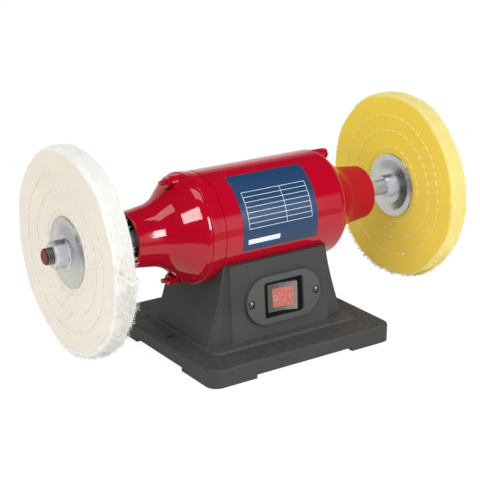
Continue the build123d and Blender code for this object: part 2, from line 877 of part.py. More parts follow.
def circlip(side):
    """Internal circlip that keeps a bearing in its bell: an open ring with two eyes."""
    outer = bearing_seat + circlip_depth - fit_gap
    inner = outer - circlip_radial
    half = radians(circlip_opening / 2)
    with BuildPart() as clip:
        with BuildSketch(cross_plane(circlip_x, side)):
            Circle(outer)
            Circle(inner, mode=Mode.SUBTRACT)
            with BuildSketch(mode=Mode.SUBTRACT):
                Polygon(
                    (0, 0),
                    (-2 * outer * sin(half), -2 * outer * cos(half)),
                    (2 * outer * sin(half), -2 * outer * cos(half)),
                    align=None,
                )
            with Locations(*[(way * inner * sin(half), -inner * cos(half)) for way in (-1, 1)]):
                Circle(circlip_eye)
                Circle(circlip_eye / 2, mode=Mode.SUBTRACT)
        extrude(amount=circlip_width)
    return clip


def flange(side, crown, rim):
    """Dished clamping flange: a crown that bears on collar or nut, and a rim that grips the wheel."""
    way = 1 if rim > crown else -1
    points = [
        ((crown, spindle_bore), 0),
        ((crown, flange_crown_radius), flange_crown_round),
        ((rim - way * flange_sheet, flange_radius - flange_rim), flange_rim_round),
        ((rim - way * flange_sheet, flange_radius), flange_edge_round),
        ((rim, flange_radius), flange_edge_round),
        ((rim, flange_radius - flange_rim), flange_rim_round),
        ((crown + way * flange_sheet, flange_crown_radius), flange_crown_round),
        ((crown + way * flange_sheet, spindle_bore), 0),
    ]
    return turned(side, [point for point, _ in points], [r for _, r in points])


def buffing_wheel(side):
    """Cloth wheel, pinched between the flanges and swelling to its rim."""
    middle = (wheel_x + wheel_end) / 2
    hub_radius = flange_radius + wheel_hub_margin
    rim_in = middle - wheel_rim_width / 2
    rim_out = middle + wheel_rim_width / 2
    points = [
        ((wheel_x, spindle_bore), 0),
        ((wheel_x, hub_radius), wheel_hub_round),
        ((rim_in, wheel_flare_radius), wheel_flare_round),
        ((rim_in, wheel_radius), wheel_edge_round),
        ((rim_out, wheel_radius), wheel_edge_round),
        ((rim_out, wheel_flare_radius), wheel_flare_round),
        ((wheel_end, hub_radius), wheel_hub_round),
        ((wheel_end, spindle_bore), 0),
    ]
    return turned(side, [point for point, _ in points], [r for _, r in points])


def spindle_nut(side):
    """Hexagon nut with chamfered corners."""
    flat = nut_across_flats / 2
    corner = flat / cos(radians(30))
    chamfer_width = (corner - flat) * tan(radians(30))
    with BuildPart() as nut:
        with BuildSketch(cross_plane(nut_x, side)):
            RegularPolygon(flat, 6, major_radius=False, rotation=nut_turn)
            Circle(spindle_end_radius, mode=Mode.SUBTRACT)
        extrude(amount=nut_width)
        with BuildSketch(profile_plane(side)):
            with BuildLine():
                Polyline(
                    (nut_x, 0),
                    (nut_x, flat),
                    (nut_x + chamfer_width, corner),
                    (nut_x + nut_width - chamfer_width, corner),
                    (nut_x + nut_width, flat),
                    (nut_x + nut_width, 0),
                    close=True,
                )
            make_face()
        revolve(axis=spindle_axis, mode=Mode.INTERSECT)
    return nut


# Spindle: journals for the bearings, shoulders for the collars and a reduced end for each wheel
half_profile = [
    (bearing_x, spindle_body_radius),
    (bearing_x, bearing_bore_radius),
    (collar_x, bearing_bore_radius),
    (collar_x, spindle_end_radius),
    (spindle_end - spindle_chamfer, spindle_end_radius),
    (spindle_end, spindle_end_radius - spindle_chamfer),
    (spindle_end, 0),
]
whole_profile = [(-x, r) for x, r in reversed(half_profile)] + half_profile
save(turned(1, whole_profile, [0] * len(whole_profile)), "spindle")


# Disc spring that preloads the left bearing
disc_spring = [
    (bearing_x - washer_height, hub_inner + loose_gap),
    (bearing_x - washer_height + washer_thickness, hub_inner + loose_gap),
    (bearing_x, bearing_radius - loose_gap),
    (bearing_x - washer_thickness, bearing_radius - loose_gap),
]
save(turned(-1, disc_spring, [0] * len(disc_spring)), "preload_washer")


# Pieces that come once on each side
for name, side in (("left", -1), ("right", 1)):
    save(rotor_ring(side), f"rotor_ring_{name}")
    save(bearing_race(side, bearing_bore_radius, inner_land), f"bearing_inner_race_{name}")
    save(bearing_race(side, outer_land, bearing_radius), f"bearing_outer_race_{name}")
    save(bearing_balls(side), f"bearing_balls_{name}")
    save(bearing_cage(side), f"bearing_cage_{name}")
    save(bearing_seals(side), f"bearing_seals_{name}")
    save(circlip(side), f"bearing_circlip_{name}")
    save(ring(side, collar_x, flange_x, spindle_bore, collar_radius), f"flange_collar_{name}")
    save(flange(side, flange_x, wheel_x), f"inner_flange_{name}")
    save(buffing_wheel(side), f"buffing_wheel_{name}")
    save(flange(side, nut_x, wheel_end), f"outer_flange_{name}")
    save(spindle_nut(side), f"spindle_nut_{name}")
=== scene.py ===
"""Dresses a bench buffer: cloth wheels, enamelled motor, cast base, switch, zinc fittings and stage."""
import json
import math

import bmesh
import bpy
import numpy as np
from mathutils import Matrix, Vector
from mathutils.bvhtree import BVHTree


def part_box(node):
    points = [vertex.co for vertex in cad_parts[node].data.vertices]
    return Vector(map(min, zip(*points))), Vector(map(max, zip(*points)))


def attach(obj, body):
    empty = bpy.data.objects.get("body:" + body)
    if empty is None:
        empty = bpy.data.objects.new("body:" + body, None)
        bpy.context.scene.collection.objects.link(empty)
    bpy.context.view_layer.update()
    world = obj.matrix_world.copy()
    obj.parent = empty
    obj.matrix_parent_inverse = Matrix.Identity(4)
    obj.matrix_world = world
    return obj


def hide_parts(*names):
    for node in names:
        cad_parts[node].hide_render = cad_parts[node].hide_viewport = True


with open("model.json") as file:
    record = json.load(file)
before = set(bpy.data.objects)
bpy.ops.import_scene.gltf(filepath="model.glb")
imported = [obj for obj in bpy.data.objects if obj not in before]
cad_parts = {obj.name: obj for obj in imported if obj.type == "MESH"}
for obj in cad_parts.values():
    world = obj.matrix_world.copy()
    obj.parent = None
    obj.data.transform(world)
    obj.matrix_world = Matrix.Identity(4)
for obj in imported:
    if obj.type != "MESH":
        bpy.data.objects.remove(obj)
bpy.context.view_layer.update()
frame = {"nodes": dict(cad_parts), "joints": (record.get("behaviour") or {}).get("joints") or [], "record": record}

bl_info = {
    "name": "Bench Buffer Looks",
    "version": (1, 0, 0),
    "blender": (4, 5, 0),
    "location": "View3D > Sidebar > Buffer",
    "description": "Cloth, enamel, castings and metal fittings of a bench buffer, with its stage",
    "category": "Object",
}

# Places that come from the frame
NODES = frame["nodes"]
SLOTS = {part["node"]: part["material_slot"] for part in frame["record"]["subparts"]}
JOINTS = {joint["name"]: joint for joint in frame["joints"]}
SPINDLE_HEIGHT = JOINTS["spindle_spin"]["pos_m"][2]
PANEL_UP = Vector(JOINTS["rocker_press"]["axis"]).normalized()
PANEL_OUT = Vector((1, 0, 0)).cross(PANEL_UP)
SHELL_LOW, SHELL_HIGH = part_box("motor_shell")
SHELL_RADIUS = (SHELL_HIGH.z - SHELL_LOW.z) / 2
MM = 0.001


def length(name, description, default):
    """A size in metres for a settings group."""
    return bpy.props.FloatProperty(
        name=name, description=description, default=default, unit="LENGTH", precision=5)


def angle(name, description, degrees):
    """An angle for a settings group, given in degrees."""
    return bpy.props.FloatProperty(
        name=name, description=description, default=math.radians(degrees), subtype="ANGLE")


def count(name, description, default):
    """A whole number for a settings group."""
    return bpy.props.IntProperty(name=name, description=description, default=default, min=1)


def level(name, description, default):
    """A plain number for a settings group."""
    return bpy.props.FloatProperty(name=name, description=description, default=default, min=0)


def colour(name, description, default):
    """A colour in linear light for a settings group."""
    return bpy.props.FloatVectorProperty(
        name=name, description=description, default=default, subtype="COLOR", size=3, min=0, max=1)


class BufferClothSettings(bpy.types.PropertyGroup):
    """Sizes and colours of the stitched cloth wheels."""

    plies: count("Plies", "Cloth discs that show at the rim of a wheel", 24)
    left_growth: length("Left growth", "How much the fluffed left wheel outgrows its solid in radius", 0.0)
    left_spread: length("Left spread", "How far each left face bulges past its solid", 0.0003)
    left_shift: length("Left shift", "How far the left wheel's plies lie toward its nut", -0.0009)
    right_growth: length("Right growth", "How much the right wheel outgrows its solid in radius", 0.0)
    right_shift: length("Right shift", "How far the right wheel's plies lie toward its nut", 0.0)
    right_spread: length("Right spread", "How far each right face bulges past its solid", -0.0007)
    edge_round: length("Edge round", "How far the face turns over into the rim", 0.0012)
    edge_wave: length("Edge wave", "How far the edge of the face wanders in and out", 0.004)
    face_wave: length("Face wave", "How far the loose cloth near the rim stands out of flat", 0.0012)
    rim_wave: length("Rim wave", "How far the rim is out of round", 0.0008)
    ply_groove: length("Ply groove", "Depth of the groove between two plies at the rim", 0.00045)
    ply_wander: length("Ply wander", "How much the plies differ in radius", 0.0004)
    ring_inner: length("Inner stitch ring", "Radius of the innermost ring of stitches", 0.042)
    ring_middle: length("Middle stitch ring", "Radius of the middle ring of stitches", 0.0615)
    ring_outer: length("Outer stitch ring", "Radius of the outermost ring of stitches", 0.0785)
    inner_step: angle("Inner step", "Where the thread leaves the inner ring for the middle one", -92)
    outer_step: angle("Outer step", "Where the thread leaves the middle ring for the outer one", -95)
    step_turn: angle("Step turn", "How far round the thread goes from one ring to the next", 19.5)
    step_overlap: level("Step overlap", "Share of a step at which its second row of stitches starts", 0.17)
    knot_turn: angle("Knot turn", "Where the thread ends in a knot on the outer ring", -108.7)
    stitch_pitch: length("Stitch pitch", "Length from one stitch to the next", 0.0098)
    stitch_length: length("Stitch length", "Length of thread that shows in one stitch", 0.0086)
    thread_radius: length("Thread radius", "Radius of the sewing thread", 0.00064)
    knot_radius: length("Knot radius", "Radius of the knot", 0.0019)
    pucker: length("Pucker", "How deep the thread pulls the cloth in", 0.00008)
    fibres: count("Fibres", "Loose fibres on the rim of each wheel", 9000)
    fibre_length: length("Fibre length", "Length of the longest loose fibres", 0.005)
    fibre_radius: length("Fibre radius", "Radius of a loose fibre at its root", 0.00013)
    left_fray: angle("Left fray", "Where round the left wheel the fibres are longest", 225)
    right_fray: angle("Right fray", "Where round the right wheel the fibres are longest", 285)
    white_face: colour("White face", "Lower face of the left wheel", (0.775, 0.715, 0.62))
    # Painted shade: the upper face is drawn darker than the lower face
    white_shaded_top: colour("White top", "Upper face of the left wheel", (0.745, 0.68, 0.565))
    white_rim: colour("White rim", "Cut edges of the left wheel", (0.785, 0.77, 0.735))
    yellow_face: colour("Yellow face", "Lower face of the right wheel", (0.99, 0.715, 0.065))
    # Painted shade: the upper face is drawn darker than the lower face
    yellow_shaded_top: colour("Yellow top", "Upper face of the right wheel", (0.87, 0.65, 0.037))
    yellow_rim: colour("Yellow rim", "Cut edges of the right wheel", (0.8, 0.685, 0.235))
    white_thread: colour("White thread", "Thread of the left wheel", (0.82, 0.765, 0.67))
    pale_thread: colour("Pale thread", "Thread of the right wheel", (0.95, 0.77, 0.36))


class BufferPaintSettings(bpy.types.PropertyGroup):
    """Colours of the enamel, the plate, the base, the switch and the metals."""

    motor_red: colour("Motor red", "Glossy enamel of the motor", (0.405, 0.0011, 0.0155))
    base_grey: colour("Base grey", "Matte paint of the cast base", (0.0505, 0.0505, 0.051))
    switch_grey: colour("Switch plate grey", "Moulded switch plate", (0.079, 0.08, 0.083))
    switch_black: colour("Switch black", "Bezel of the switch", (0.006, 0.006, 0.006))
    lens_red: colour("Lens red", "Lit part of the rocker", (0.5, 0.105, 0.08))
    lens_clear: colour("Lens border", "Clear border of the rocker", (0.145, 0.14, 0.13))
    # Painted glints on the middle of the rocker
    lens_painted_glint: colour("Lens spark", "Bright facets of the rocker", (0.72, 0.36, 0.29))
    mark_white: colour("Mark white", "Marks on the rocker", (0.66, 0.4, 0.34))
    plate_blue: colour("Plate blue", "Ground of the bare plate", (0.004, 0.041, 0.115))
    plate_white: colour("Plate white", "Rules of the bare plate", (0.74, 0.8, 0.86))
    zinc: colour("Zinc", "Plated flanges and nuts", (0.62, 0.642, 0.68))
    steel: colour("Steel", "Ground spindle and plain steel", (0.52, 0.56, 0.66))
    thread_steel: colour("Thread steel", "Oiled threads of the spindle", (0.06, 0.057, 0.055))
    thread_crest: colour("Thread crest", "Rubbed crests of the threads", (0.3, 0.29, 0.28))
    # Painted shade: the bearings deep inside the noses are drawn near black
    greased: colour("Greased steel", "Bearings inside the noses", (0.014, 0.01, 0.009))
    end_mark: colour("End mark", "Paint on the end of the left-hand thread", (0.2, 0.028, 0.024))


class BufferStageSettings(bpy.types.PropertyGroup):
    """Camera, lamps and floor."""

    aim_x: length("Aim X", "Where the line of sight crosses the middle plane, along the spindle", -0.010806)
    aim_z: length("Aim Z", "Where the line of sight crosses the middle plane, above the bench", 0.106257)
    distance: length("Distance", "From that point to the camera", 1.39273)
    azimuth: angle("Azimuth", "Camera to the left of the front", -33.785)
    elevation: angle("Elevation", "Camera above the bench", 18.7235)
    roll: angle("Roll", "Camera turned about its line of sight", -0.304)
    lens: bpy.props.FloatProperty(
        name="Lens", description="Focal length in millimetres", default=100.377, subtype="DISTANCE_CAMERA")
    fill: level("Fill", "Even light from all round", 0.78)
    neck_glow: level("Neck glow", "Brightness of the card that shows on the left nose", 18.0)
    shoulder_glow: level("Shoulder glow", "Brightness of the card that shows on the left bell", 14.0)
    card_glow: level("Card glow", "Brightness of the card overhead", 3.2)
    front_glow: level("Front glow", "Brightness of the soft wash from the front", 9.2)
    top_glow: level("Top glow", "Brightness of the soft wash from above", 1.5)
    wash_glow: level("Wash glow", "Brightness of the soft wash from the left", 2.16)
    floor: colour("Floor", "Pale floor under the buffer", (0.86, 0.86, 0.86))


class Value:
    """An output of a node, which takes part in arithmetic."""

    def __init__(self, graph, socket):
        self.graph = graph
        self.socket = socket

    def math(self, operation, *others):
        inputs = dict(enumerate((self, *others)))
        return self.graph.add("ShaderNodeMath", {"operation": operation}, inputs)

    def turned_math(self, operation, other):
        return self.graph.add("ShaderNodeMath", {"operation": operation}, {0: other, 1: self})

    def __add__(self, other):
        return self.math("ADD", other)

    def __sub__(self, other):
        return self.math("SUBTRACT", other)

    def __rsub__(self, other):
        return self.turned_math("SUBTRACT", other)

    def __mul__(self, other):
        return self.math("MULTIPLY", other)

    def __truediv__(self, other):
        return self.math("DIVIDE", other)

    def __rtruediv__(self, other):
        return self.turned_math("DIVIDE", other)

    def __pow__(self, other):
        return self.math("POWER", other)

    def __neg__(self):
        return self.math("MULTIPLY", -1)

    __radd__ = __add__
    __rmul__ = __mul__

    def above(self, other):
        return self.math("GREATER_THAN", other)

    def below(self, other):
        return self.math("LESS_THAN", other)

    def between(self, low, high):
        return self.above(low) * self.below(high)

    def clamp(self):
        return self.graph.add("ShaderNodeClamp", None, {"Value": self})

    def spread(self, low, high, new_low=0.0, new_high=1.0):
        """The value taken smoothly from one range to another."""
        inputs = {"Value": self, "From Min": low, "From Max": high, "To Min": new_low, "To Max": new_high}
        return self.graph.add("ShaderNodeMapRange", {"interpolation_type": "SMOOTHSTEP"}, inputs)


class Graph:
    """A node tree to which nodes are added one by one."""

    def __init__(self, tree):
        self.tree = tree

    def add(self, kind, settings=None, inputs=None, out=0):
        node = self.tree.nodes.new(kind)
        for key, value in (settings or {}).items():
            setattr(node, key, value)
        for key, value in (inputs or {}).items():
            self.feed(node.inputs[key], value)
        return Value(self, node.outputs[out])

    def feed(self, socket, value):
        """Sets or links a socket, and links all of a list to one that takes several."""
        if isinstance(value, list):
            for each in value:
                self.feed(socket, each)
        elif isinstance(value, Value):
            self.tree.links.new(value.socket, socket)
        elif socket.type == "RGBA":
            socket.default_value = (*value[:3], 1.0)
        else:
            socket.default_value = value

    def vector(self, operation, *values, out=0):
        return self.add("ShaderNodeVectorMath", {"operation": operation}, dict(enumerate(values)), out)

    def split(self, vector):
        """The three parts of a vector."""
        parts = self.add("ShaderNodeSeparateXYZ", None, {0: vector})
        return [Value(self, socket) for socket in parts.socket.node.outputs]

    def join(self, x, y, z):
        return self.add("ShaderNodeCombineXYZ", None, {0: x, 1: y, 2: z})

    def rays(self):
        """Whether a ray comes from the camera, straight or through glass, and whether it is mirrored."""
        ray = self.add("ShaderNodeLightPath").socket.node.outputs
        seen = Value(self, ray["Is Camera Ray"]) + Value(self, ray["Is Transmission Ray"])
        return seen, Value(self, ray["Is Glossy Ray"])


class Finish(Graph):
    """A procedural material on a piece's own coordinates."""

    def __init__(self, name):
        self.material = bpy.data.materials.new(name)
        self.material.use_nodes = True
        super().__init__(self.material.node_tree)
        self.shader = self.tree.nodes["Principled BSDF"]
        self.place = self.add("ShaderNodeTexCoord", out="Object")

    def noise(self, size, detail=2.0, roughness=0.5, place=None):
        """Cloudy noise whose blotches are about the given size in metres."""
        inputs = {"Vector": place or self.place, "Scale": 1 / size, "Detail": detail, "Roughness": roughness}
        return self.add("ShaderNodeTexNoise", None, inputs)

    def cells(self, size):
        """Distance to the nearest of many scattered points."""
        return self.add("ShaderNodeTexVoronoi", None, {"Vector": self.place, "Scale": 1 / size})

    def blend(self, first, second, factor):
        """One colour laid over another."""
        inputs = {0: factor, 6: first, 7: second}
        return self.add("ShaderNodeMix", {"data_type": "RGBA"}, inputs, 2)

    def shade(self, tone, factor):
        """A colour made darker or lighter by a factor that changes over the surface."""
        return self.add("ShaderNodeMix", {"data_type": "RGBA", "blend_type": "MULTIPLY"},
                        {0: 1.0, 6: tone, 7: self.join(factor, factor, factor)}, 2)

    def bump(self, height, distance, strength=1.0):
        inputs = {"Strength": strength, "Distance": distance, "Height": height}
        return self.add("ShaderNodeBump", None, inputs)

    def worn_edge(self, radius):
        """1 on sharp edges and 0 elsewhere."""
        rounded = self.add("ShaderNodeBevel", {"samples": 4}, {"Radius": radius})
        straight = self.add("ShaderNodeNewGeometry", out="Normal")
        likeness = self.vector("DOT_PRODUCT", rounded, straight, out="Value")
        return (1 - likeness).spread(0.02, 0.2)

    def about_spindle(self):
        """Distance from the spindle's axis, and the place along it."""
        x, y, z = self.split(self.place)
        rise = z - SPINDLE_HEIGHT
        return (y * y + rise * rise).math("SQRT"), x

    def surface(self, **sockets):
        """Sets or links the shader's sockets, with spaces in their names written as _."""
        for name, value in sockets.items():
            self.feed(self.shader.inputs[name.replace("_", " ")], value)
        return self.material


class Growth(Graph):
    """A Geometry Nodes tree with named inputs, which turns one mesh into a finished piece."""

    def __init__(self, name, **inputs):
        super().__init__(bpy.data.node_groups.new(name, "GeometryNodeTree"))
        face = self.tree.interface
        face.new_socket("Geometry", in_out="INPUT", socket_type="NodeSocketGeometry")
        face.new_socket("Geometry", in_out="OUTPUT", socket_type="NodeSocketGeometry")
        self.keys = {}
        for key, value in inputs.items():
            kind = "NodeSocketInt" if isinstance(value, int) else "NodeSocketFloat"
            socket = face.new_socket(key, in_out="INPUT", socket_type=kind)
            socket.default_value = value
            self.keys[key] = socket.identifier
        self.values = inputs
        self.source = self.tree.nodes.new("NodeGroupInput")
        self.geometry = Value(self, self.source.outputs["Geometry"])

    def __getitem__(self, key):
        return Value(self, self.source.outputs[key])

    def finish(self, geometry, material):
        """Closes the tree with plain geometry of one material."""
        whole = self.add("GeometryNodeRealizeInstances", None, {0: geometry})
        painted = self.add("GeometryNodeSetMaterial", None, {"Geometry": whole, "Material": material})
        smooth = self.add("GeometryNodeSetShadeSmooth", None, {"Geometry": painted})
        end = self.tree.nodes.new("NodeGroupOutput")
        self.tree.links.new(smooth.socket, end.inputs["Geometry"])

    def grow(self, source, name):
        """Runs the tree on a mesh object and returns the result as a plain piece."""
        modifier = source.modifiers.new(name, "NODES")
        modifier.node_group = self.tree
        for key, value in self.values.items():
            modifier[self.keys[key]] = value
        mesh = plain_mesh(source)
        source.modifiers.remove(modifier)
        mesh.name = name
        return show(mesh, name)


def plain_mesh(piece):
    """A mesh with a piece's modifiers worked into it."""
    ready = piece.evaluated_get(bpy.context.evaluated_depsgraph_get())
    return bpy.data.meshes.new_from_object(ready)


def show(mesh, name):
    """A mesh as an object in the scene."""
    piece = bpy.data.objects.new(name, mesh)
    bpy.context.scene.collection.objects.link(piece)
    return piece


def new_mesh(name, points, faces, material=None, edges=()):
    """A mesh object with smooth faces that point outward."""
    mesh = bpy.data.meshes.new(name)
    mesh.from_pydata([tuple(point) for point in points], list(edges), faces)
    if faces:
        solid = bmesh.new()
        solid.from_mesh(mesh)
        bmesh.ops.recalc_face_normals(solid, faces=solid.faces)
        solid.to_mesh(mesh)
        solid.free()
        mesh.shade_smooth()
    if material:
        mesh.materials.append(material)
    return show(mesh, name)


def discard(piece):
    """Takes a construction mesh out of the scene."""
    mesh = piece.data
    bpy.data.objects.remove(piece)
    bpy.data.meshes.remove(mesh)


def paint_node(node, material):
    """Puts a material on one CAD node."""
    NODES[node].data.materials.clear()
    NODES[node].data.materials.append(material)


def dress(slot, material):
    """Puts a material on every CAD node of one material slot."""
    for node, its_slot in SLOTS.items():
        if its_slot == slot:
            paint_node(node, material)


def smooth_step(value, low, high):
    """0 below low, 1 above high, smooth between."""
    share = np.clip((value - low) / (high - low), 0, 1)
    return share * share * (3 - 2 * share)


def ripple(turn, low, high, dice):
    """Uneven smooth waves round a wheel, from about -1 to 1, with low to high waves in a turn."""
    total = np.zeros_like(turn)
    for waves in range(low, high + 1):
        total += dice.uniform(0.5, 1.0) * np.cos(waves * turn + dice.uniform(0, 2 * math.pi))
    return total / np.abs(total).max()


class ClothWheel:
    """The shape of one wheel: cloth discs pressed flat at the hub, stitched in rings and loose at the rim."""

    turn_steps = 324
    face_steps = 56
    points_per_ply = 4
    ring_points = 240
    step_points = 9
    clamped_share = 1.08
    loose_share = 0.9
    pucker_reach = 5
    ply_lean = 0.5
    edge_power = 14
    least_fray = 0.3

    def __init__(self, side, cloth, seed):
        low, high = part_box(f"buffing_wheel_{side}")
        inner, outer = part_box(f"inner_flange_{side}"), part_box(f"outer_flange_{side}")
        hub_faces = sorted((inner[0].x, inner[1].x, outer[0].x, outer[1].x))[1:3]
        self.cloth = cloth
        self.rings = (cloth.ring_inner, cloth.ring_middle, cloth.ring_outer)
        self.middle = (low.x + high.x) / 2 + getattr(cloth, f"{side}_shift")
        self.radius = (high.z - low.z) / 2 + getattr(cloth, f"{side}_growth")
        self.rim_half = (high.x - low.x) / 2 + getattr(cloth, f"{side}_spread")
        self.hub_half = (hub_faces[1] - hub_faces[0]) / 2
        self.flange_radius = (inner[1].z - inner[0].z) / 2
        self.bore = (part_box("spindle")[1].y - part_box("spindle")[0].y) / 2
        self.turn = np.linspace(0, 2 * math.pi, self.turn_steps, endpoint=False)
        self.frayed_turn = getattr(cloth, f"{side}_fray")
        dice = np.random.default_rng(seed)
        self.face_ripple = {face: ripple(self.turn, 3, 10, dice) for face in (-1, 1)}
        self.edge_ripple = {face: ripple(self.turn, 4, 13, dice) for face in (-1, 1)}
        self.rim_ripple = ripple(self.turn, 2, 9, dice)
        self.lean = ripple(self.turn, 3, 12, dice)
        self.ply_ripple = [ripple(self.turn, 9, 60, dice) for _ in range(cloth.plies)]

    def half_width(self, radius, face, turn=None):
        """Distance of a face from the wheel's middle plane, at a radius, all round or at some turns."""
        cloth = self.cloth
        loose = smooth_step(radius, self.flange_radius * self.clamped_share, self.radius * self.loose_share)
        flat = self.hub_half + (self.rim_half - self.hub_half - cloth.face_wave) * loose
        reach = self.pucker_reach * cloth.thread_radius
        pulled = sum(np.exp(-((radius - ring) / reach) ** 2) for ring in self.rings)
        wave = self.face_ripple[face]
        if turn is not None:
            wave = np.interp(turn % (2 * math.pi), self.turn, wave, period=2 * math.pi)
        return flat - cloth.pucker * pulled + cloth.face_wave * wave * loose

    def edge_radius(self, face):
        """Radius at which a face turns over into the rim, all round."""
        cloth = self.cloth
        return self.radius - cloth.edge_round - cloth.edge_wave * (1 + self.edge_ripple[face]) / 2

    def place(self, axial, radius, turn):
        """Points in the buffer's frame from places in the wheel's own round coordinates."""
        x = self.middle + axial
        y = radius * np.cos(turn)
        z = SPINDLE_HEIGHT + radius * np.sin(turn)
        return np.stack(np.broadcast_arrays(x, y, z), -1)

    def face_rows(self, face):
        """Rows of points from the bore to the edge of one face."""
        rows = []
        edge = self.edge_radius(face)
        for share in np.linspace(0, 1, self.face_steps):
            radius = self.bore + (edge - self.bore) * share
            rows.append(self.place(face * self.half_width(radius, face), radius, self.turn))
        return rows

    def rim_rows(self):
        """Rows of points across the rim, from one edge to the other, with a groove between the plies."""
        cloth = self.cloth
        rows = []
        steps = cloth.plies * self.points_per_ply
        wide = {face: self.half_width(self.edge_radius(face), face) for face in (-1, 1)}
        for share in np.linspace(1, -1, steps + 1)[1:-1]:
            face = 1 if share > 0 else -1
            ply = (share + 1) / 2 * cloth.plies + self.ply_lean * self.lean
            across = np.clip(ply, 0, cloth.plies - 1e-6)
            wander = np.choose(np.floor(across).astype(int), self.ply_ripple)
            groove = (1 - np.abs(np.sin(math.pi * across))) ** 2
            drop = (self.radius - self.edge_radius(face)) * abs(share) ** self.edge_power
            radius = self.radius + cloth.rim_wave * self.rim_ripple - drop
            radius = radius + cloth.ply_wander * wander - cloth.ply_groove * groove
            rows.append(self.place(share * wide[face], radius, self.turn))
        return rows

    def mesh(self, name, material):
        """The closed outer surface, with marks that tell the rim from the faces and the frayed side."""
        right, rim, left = self.face_rows(1), self.rim_rows(), self.face_rows(-1)
        rows = right + rim + left[::-1]
        steps = self.turn_steps
        total = len(rows)
        faces = []
        for row in range(total):
            below = (row + 1) % total
            for step in range(steps):
                beside = (step + 1) % steps
                faces.append((row * steps + step, row * steps + beside,
                              below * steps + beside, below * steps + step))
        wheel = new_mesh(name, np.concatenate(rows), faces, material)
        on_rim = np.zeros(total, np.float32)
        on_rim[len(right):len(right) + len(rim)] = 1
        frayed_side_and_painted_rim_light = smooth_step(np.cos(self.turn - self.frayed_turn), 0.1, 0.9)
        fray = self.least_fray + (1 - self.least_fray) * frayed_side_and_painted_rim_light
        self.mark(wheel, "rim", np.repeat(on_rim, steps))
        self.mark(wheel, "fray", np.tile(fray, total))
        return wheel

    def mark(self, piece, name, values):
        """A number on every point of a mesh."""
        attribute = piece.data.attributes.new(name, "FLOAT", "POINT")
        attribute.data.foreach_set("value", np.asarray(values, np.float32))

    def sewing_lines(self, name):
        """The thread on both faces: three rings, slanting steps from ring to ring and a knot."""
        cloth = self.cloth
        points, edges, knots = [], [], []
        for face in (-1, 1):
            turn_on = 0 if face < 0 else math.pi
            around = np.linspace(0, 2 * math.pi, self.ring_points)
            runs = [(np.full(self.ring_points, ring), around) for ring in self.rings]
            for low, high, start in zip(self.rings, self.rings[1:], (cloth.inner_step, cloth.outer_step)):
                for skip in (0.0, cloth.step_overlap):
                    share = np.linspace(skip, 1, self.step_points)
                    runs.append((low + (high - low) * share, start + turn_on + cloth.step_turn * share))
            runs.append((np.array([self.rings[2]]), np.array([cloth.knot_turn + turn_on])))
            for radius, turn in runs:
                raised = self.half_width(radius, face, turn) + 0.5 * cloth.thread_radius
                first = sum(map(len, points))
                points.append(self.place(face * raised, radius, turn))
                edges.extend((first + step, first + step + 1) for step in range(len(turn) - 1))
                knots.extend([float(len(turn) == 1)] * len(turn))
        line = new_mesh(name, np.concatenate(points), [], None, edges)
        self.mark(line, "knot", knots)
        return line


def woven_cloth(name, face_tone, shaded_top_tone, rim_tone):
    """Cotton cloth: woven on the faces, painted darker above and paler below as shade and light, with brighter
    frayed edges at the rim that are painted paler toward the bottom and darker toward the top.
    """
    cloth = Finish(name)
    thread = 0.0009
    x, y, z = cloth.split(cloth.place)
    warp = (y * (2 * math.pi / thread)).math("SINE")
    weft = (z * (2 * math.pi / thread)).math("SINE")
    weave = warp * weft
    rim = cloth.add("ShaderNodeAttribute", {"attribute_name": "rim"}, out="Fac")
    stain = cloth.noise(0.045, 4.0, 0.55)
    fuzz = cloth.noise(0.0016, 3.0, 0.7)
    crease = cloth.noise(0.012, 3.0, 0.6)
    # Painted shade: the upper part of each face takes the darker top tone, the lower part the paler face tone
    painted_top_shade = (0.3 * y + z - SPINDLE_HEIGHT + 0.05 * stain).spread(-0.02, 0.12)
    tone = cloth.blend(cloth.blend(face_tone, shaded_top_tone, painted_top_shade), rim_tone, rim)
    strands = cloth.noise(0.0014, 3.0, 0.65, place=cloth.join(x, 0.12 * y, 0.12 * z))
    rise = z - SPINDLE_HEIGHT
    # Painted light and shade: the rim is drawn paler toward the bottom and darker toward the top
    frayed_side_and_painted_rim_light = 0.15 * rise.spread(0.09, -0.08) + 0.16 * rise.spread(-0.01, -0.09)
    stains_and_painted_light = 0.91 + 0.13 * stain + rim * (0.06 * fuzz + 0.2 * strands - 0.15 + frayed_side_and_painted_rim_light)
    lines = 1 + 0.05 * weave * (1 - rim)
    height = weave * (1 - rim) * 0.25 + fuzz * (0.15 + 0.6 * rim) + crease
    return cloth.surface(
        Base_Color=cloth.shade(tone, stains_and_painted_light * lines), Roughness=0.9 + 0.1 * fuzz, Specular_IOR_Level=0.15,
        Sheen_Weight=0.2, Sheen_Roughness=0.6, Normal=cloth.bump(height, 0.0004, 0.6))


def spun_thread(name, tone):
    """Waxed sewing thread and loose cotton fibres."""
    thread = Finish(name)
    uneven = thread.noise(0.0011, 2.0)
    cloudy = thread.noise(0.02, 2.0)
    return thread.surface(
        Base_Color=thread.shade(tone, 0.86 + 0.12 * uneven + 0.14 * cloudy), Roughness=0.75 + 0.2 * uneven,
        Specular_IOR_Level=0.2, Sheen_Weight=0.2)


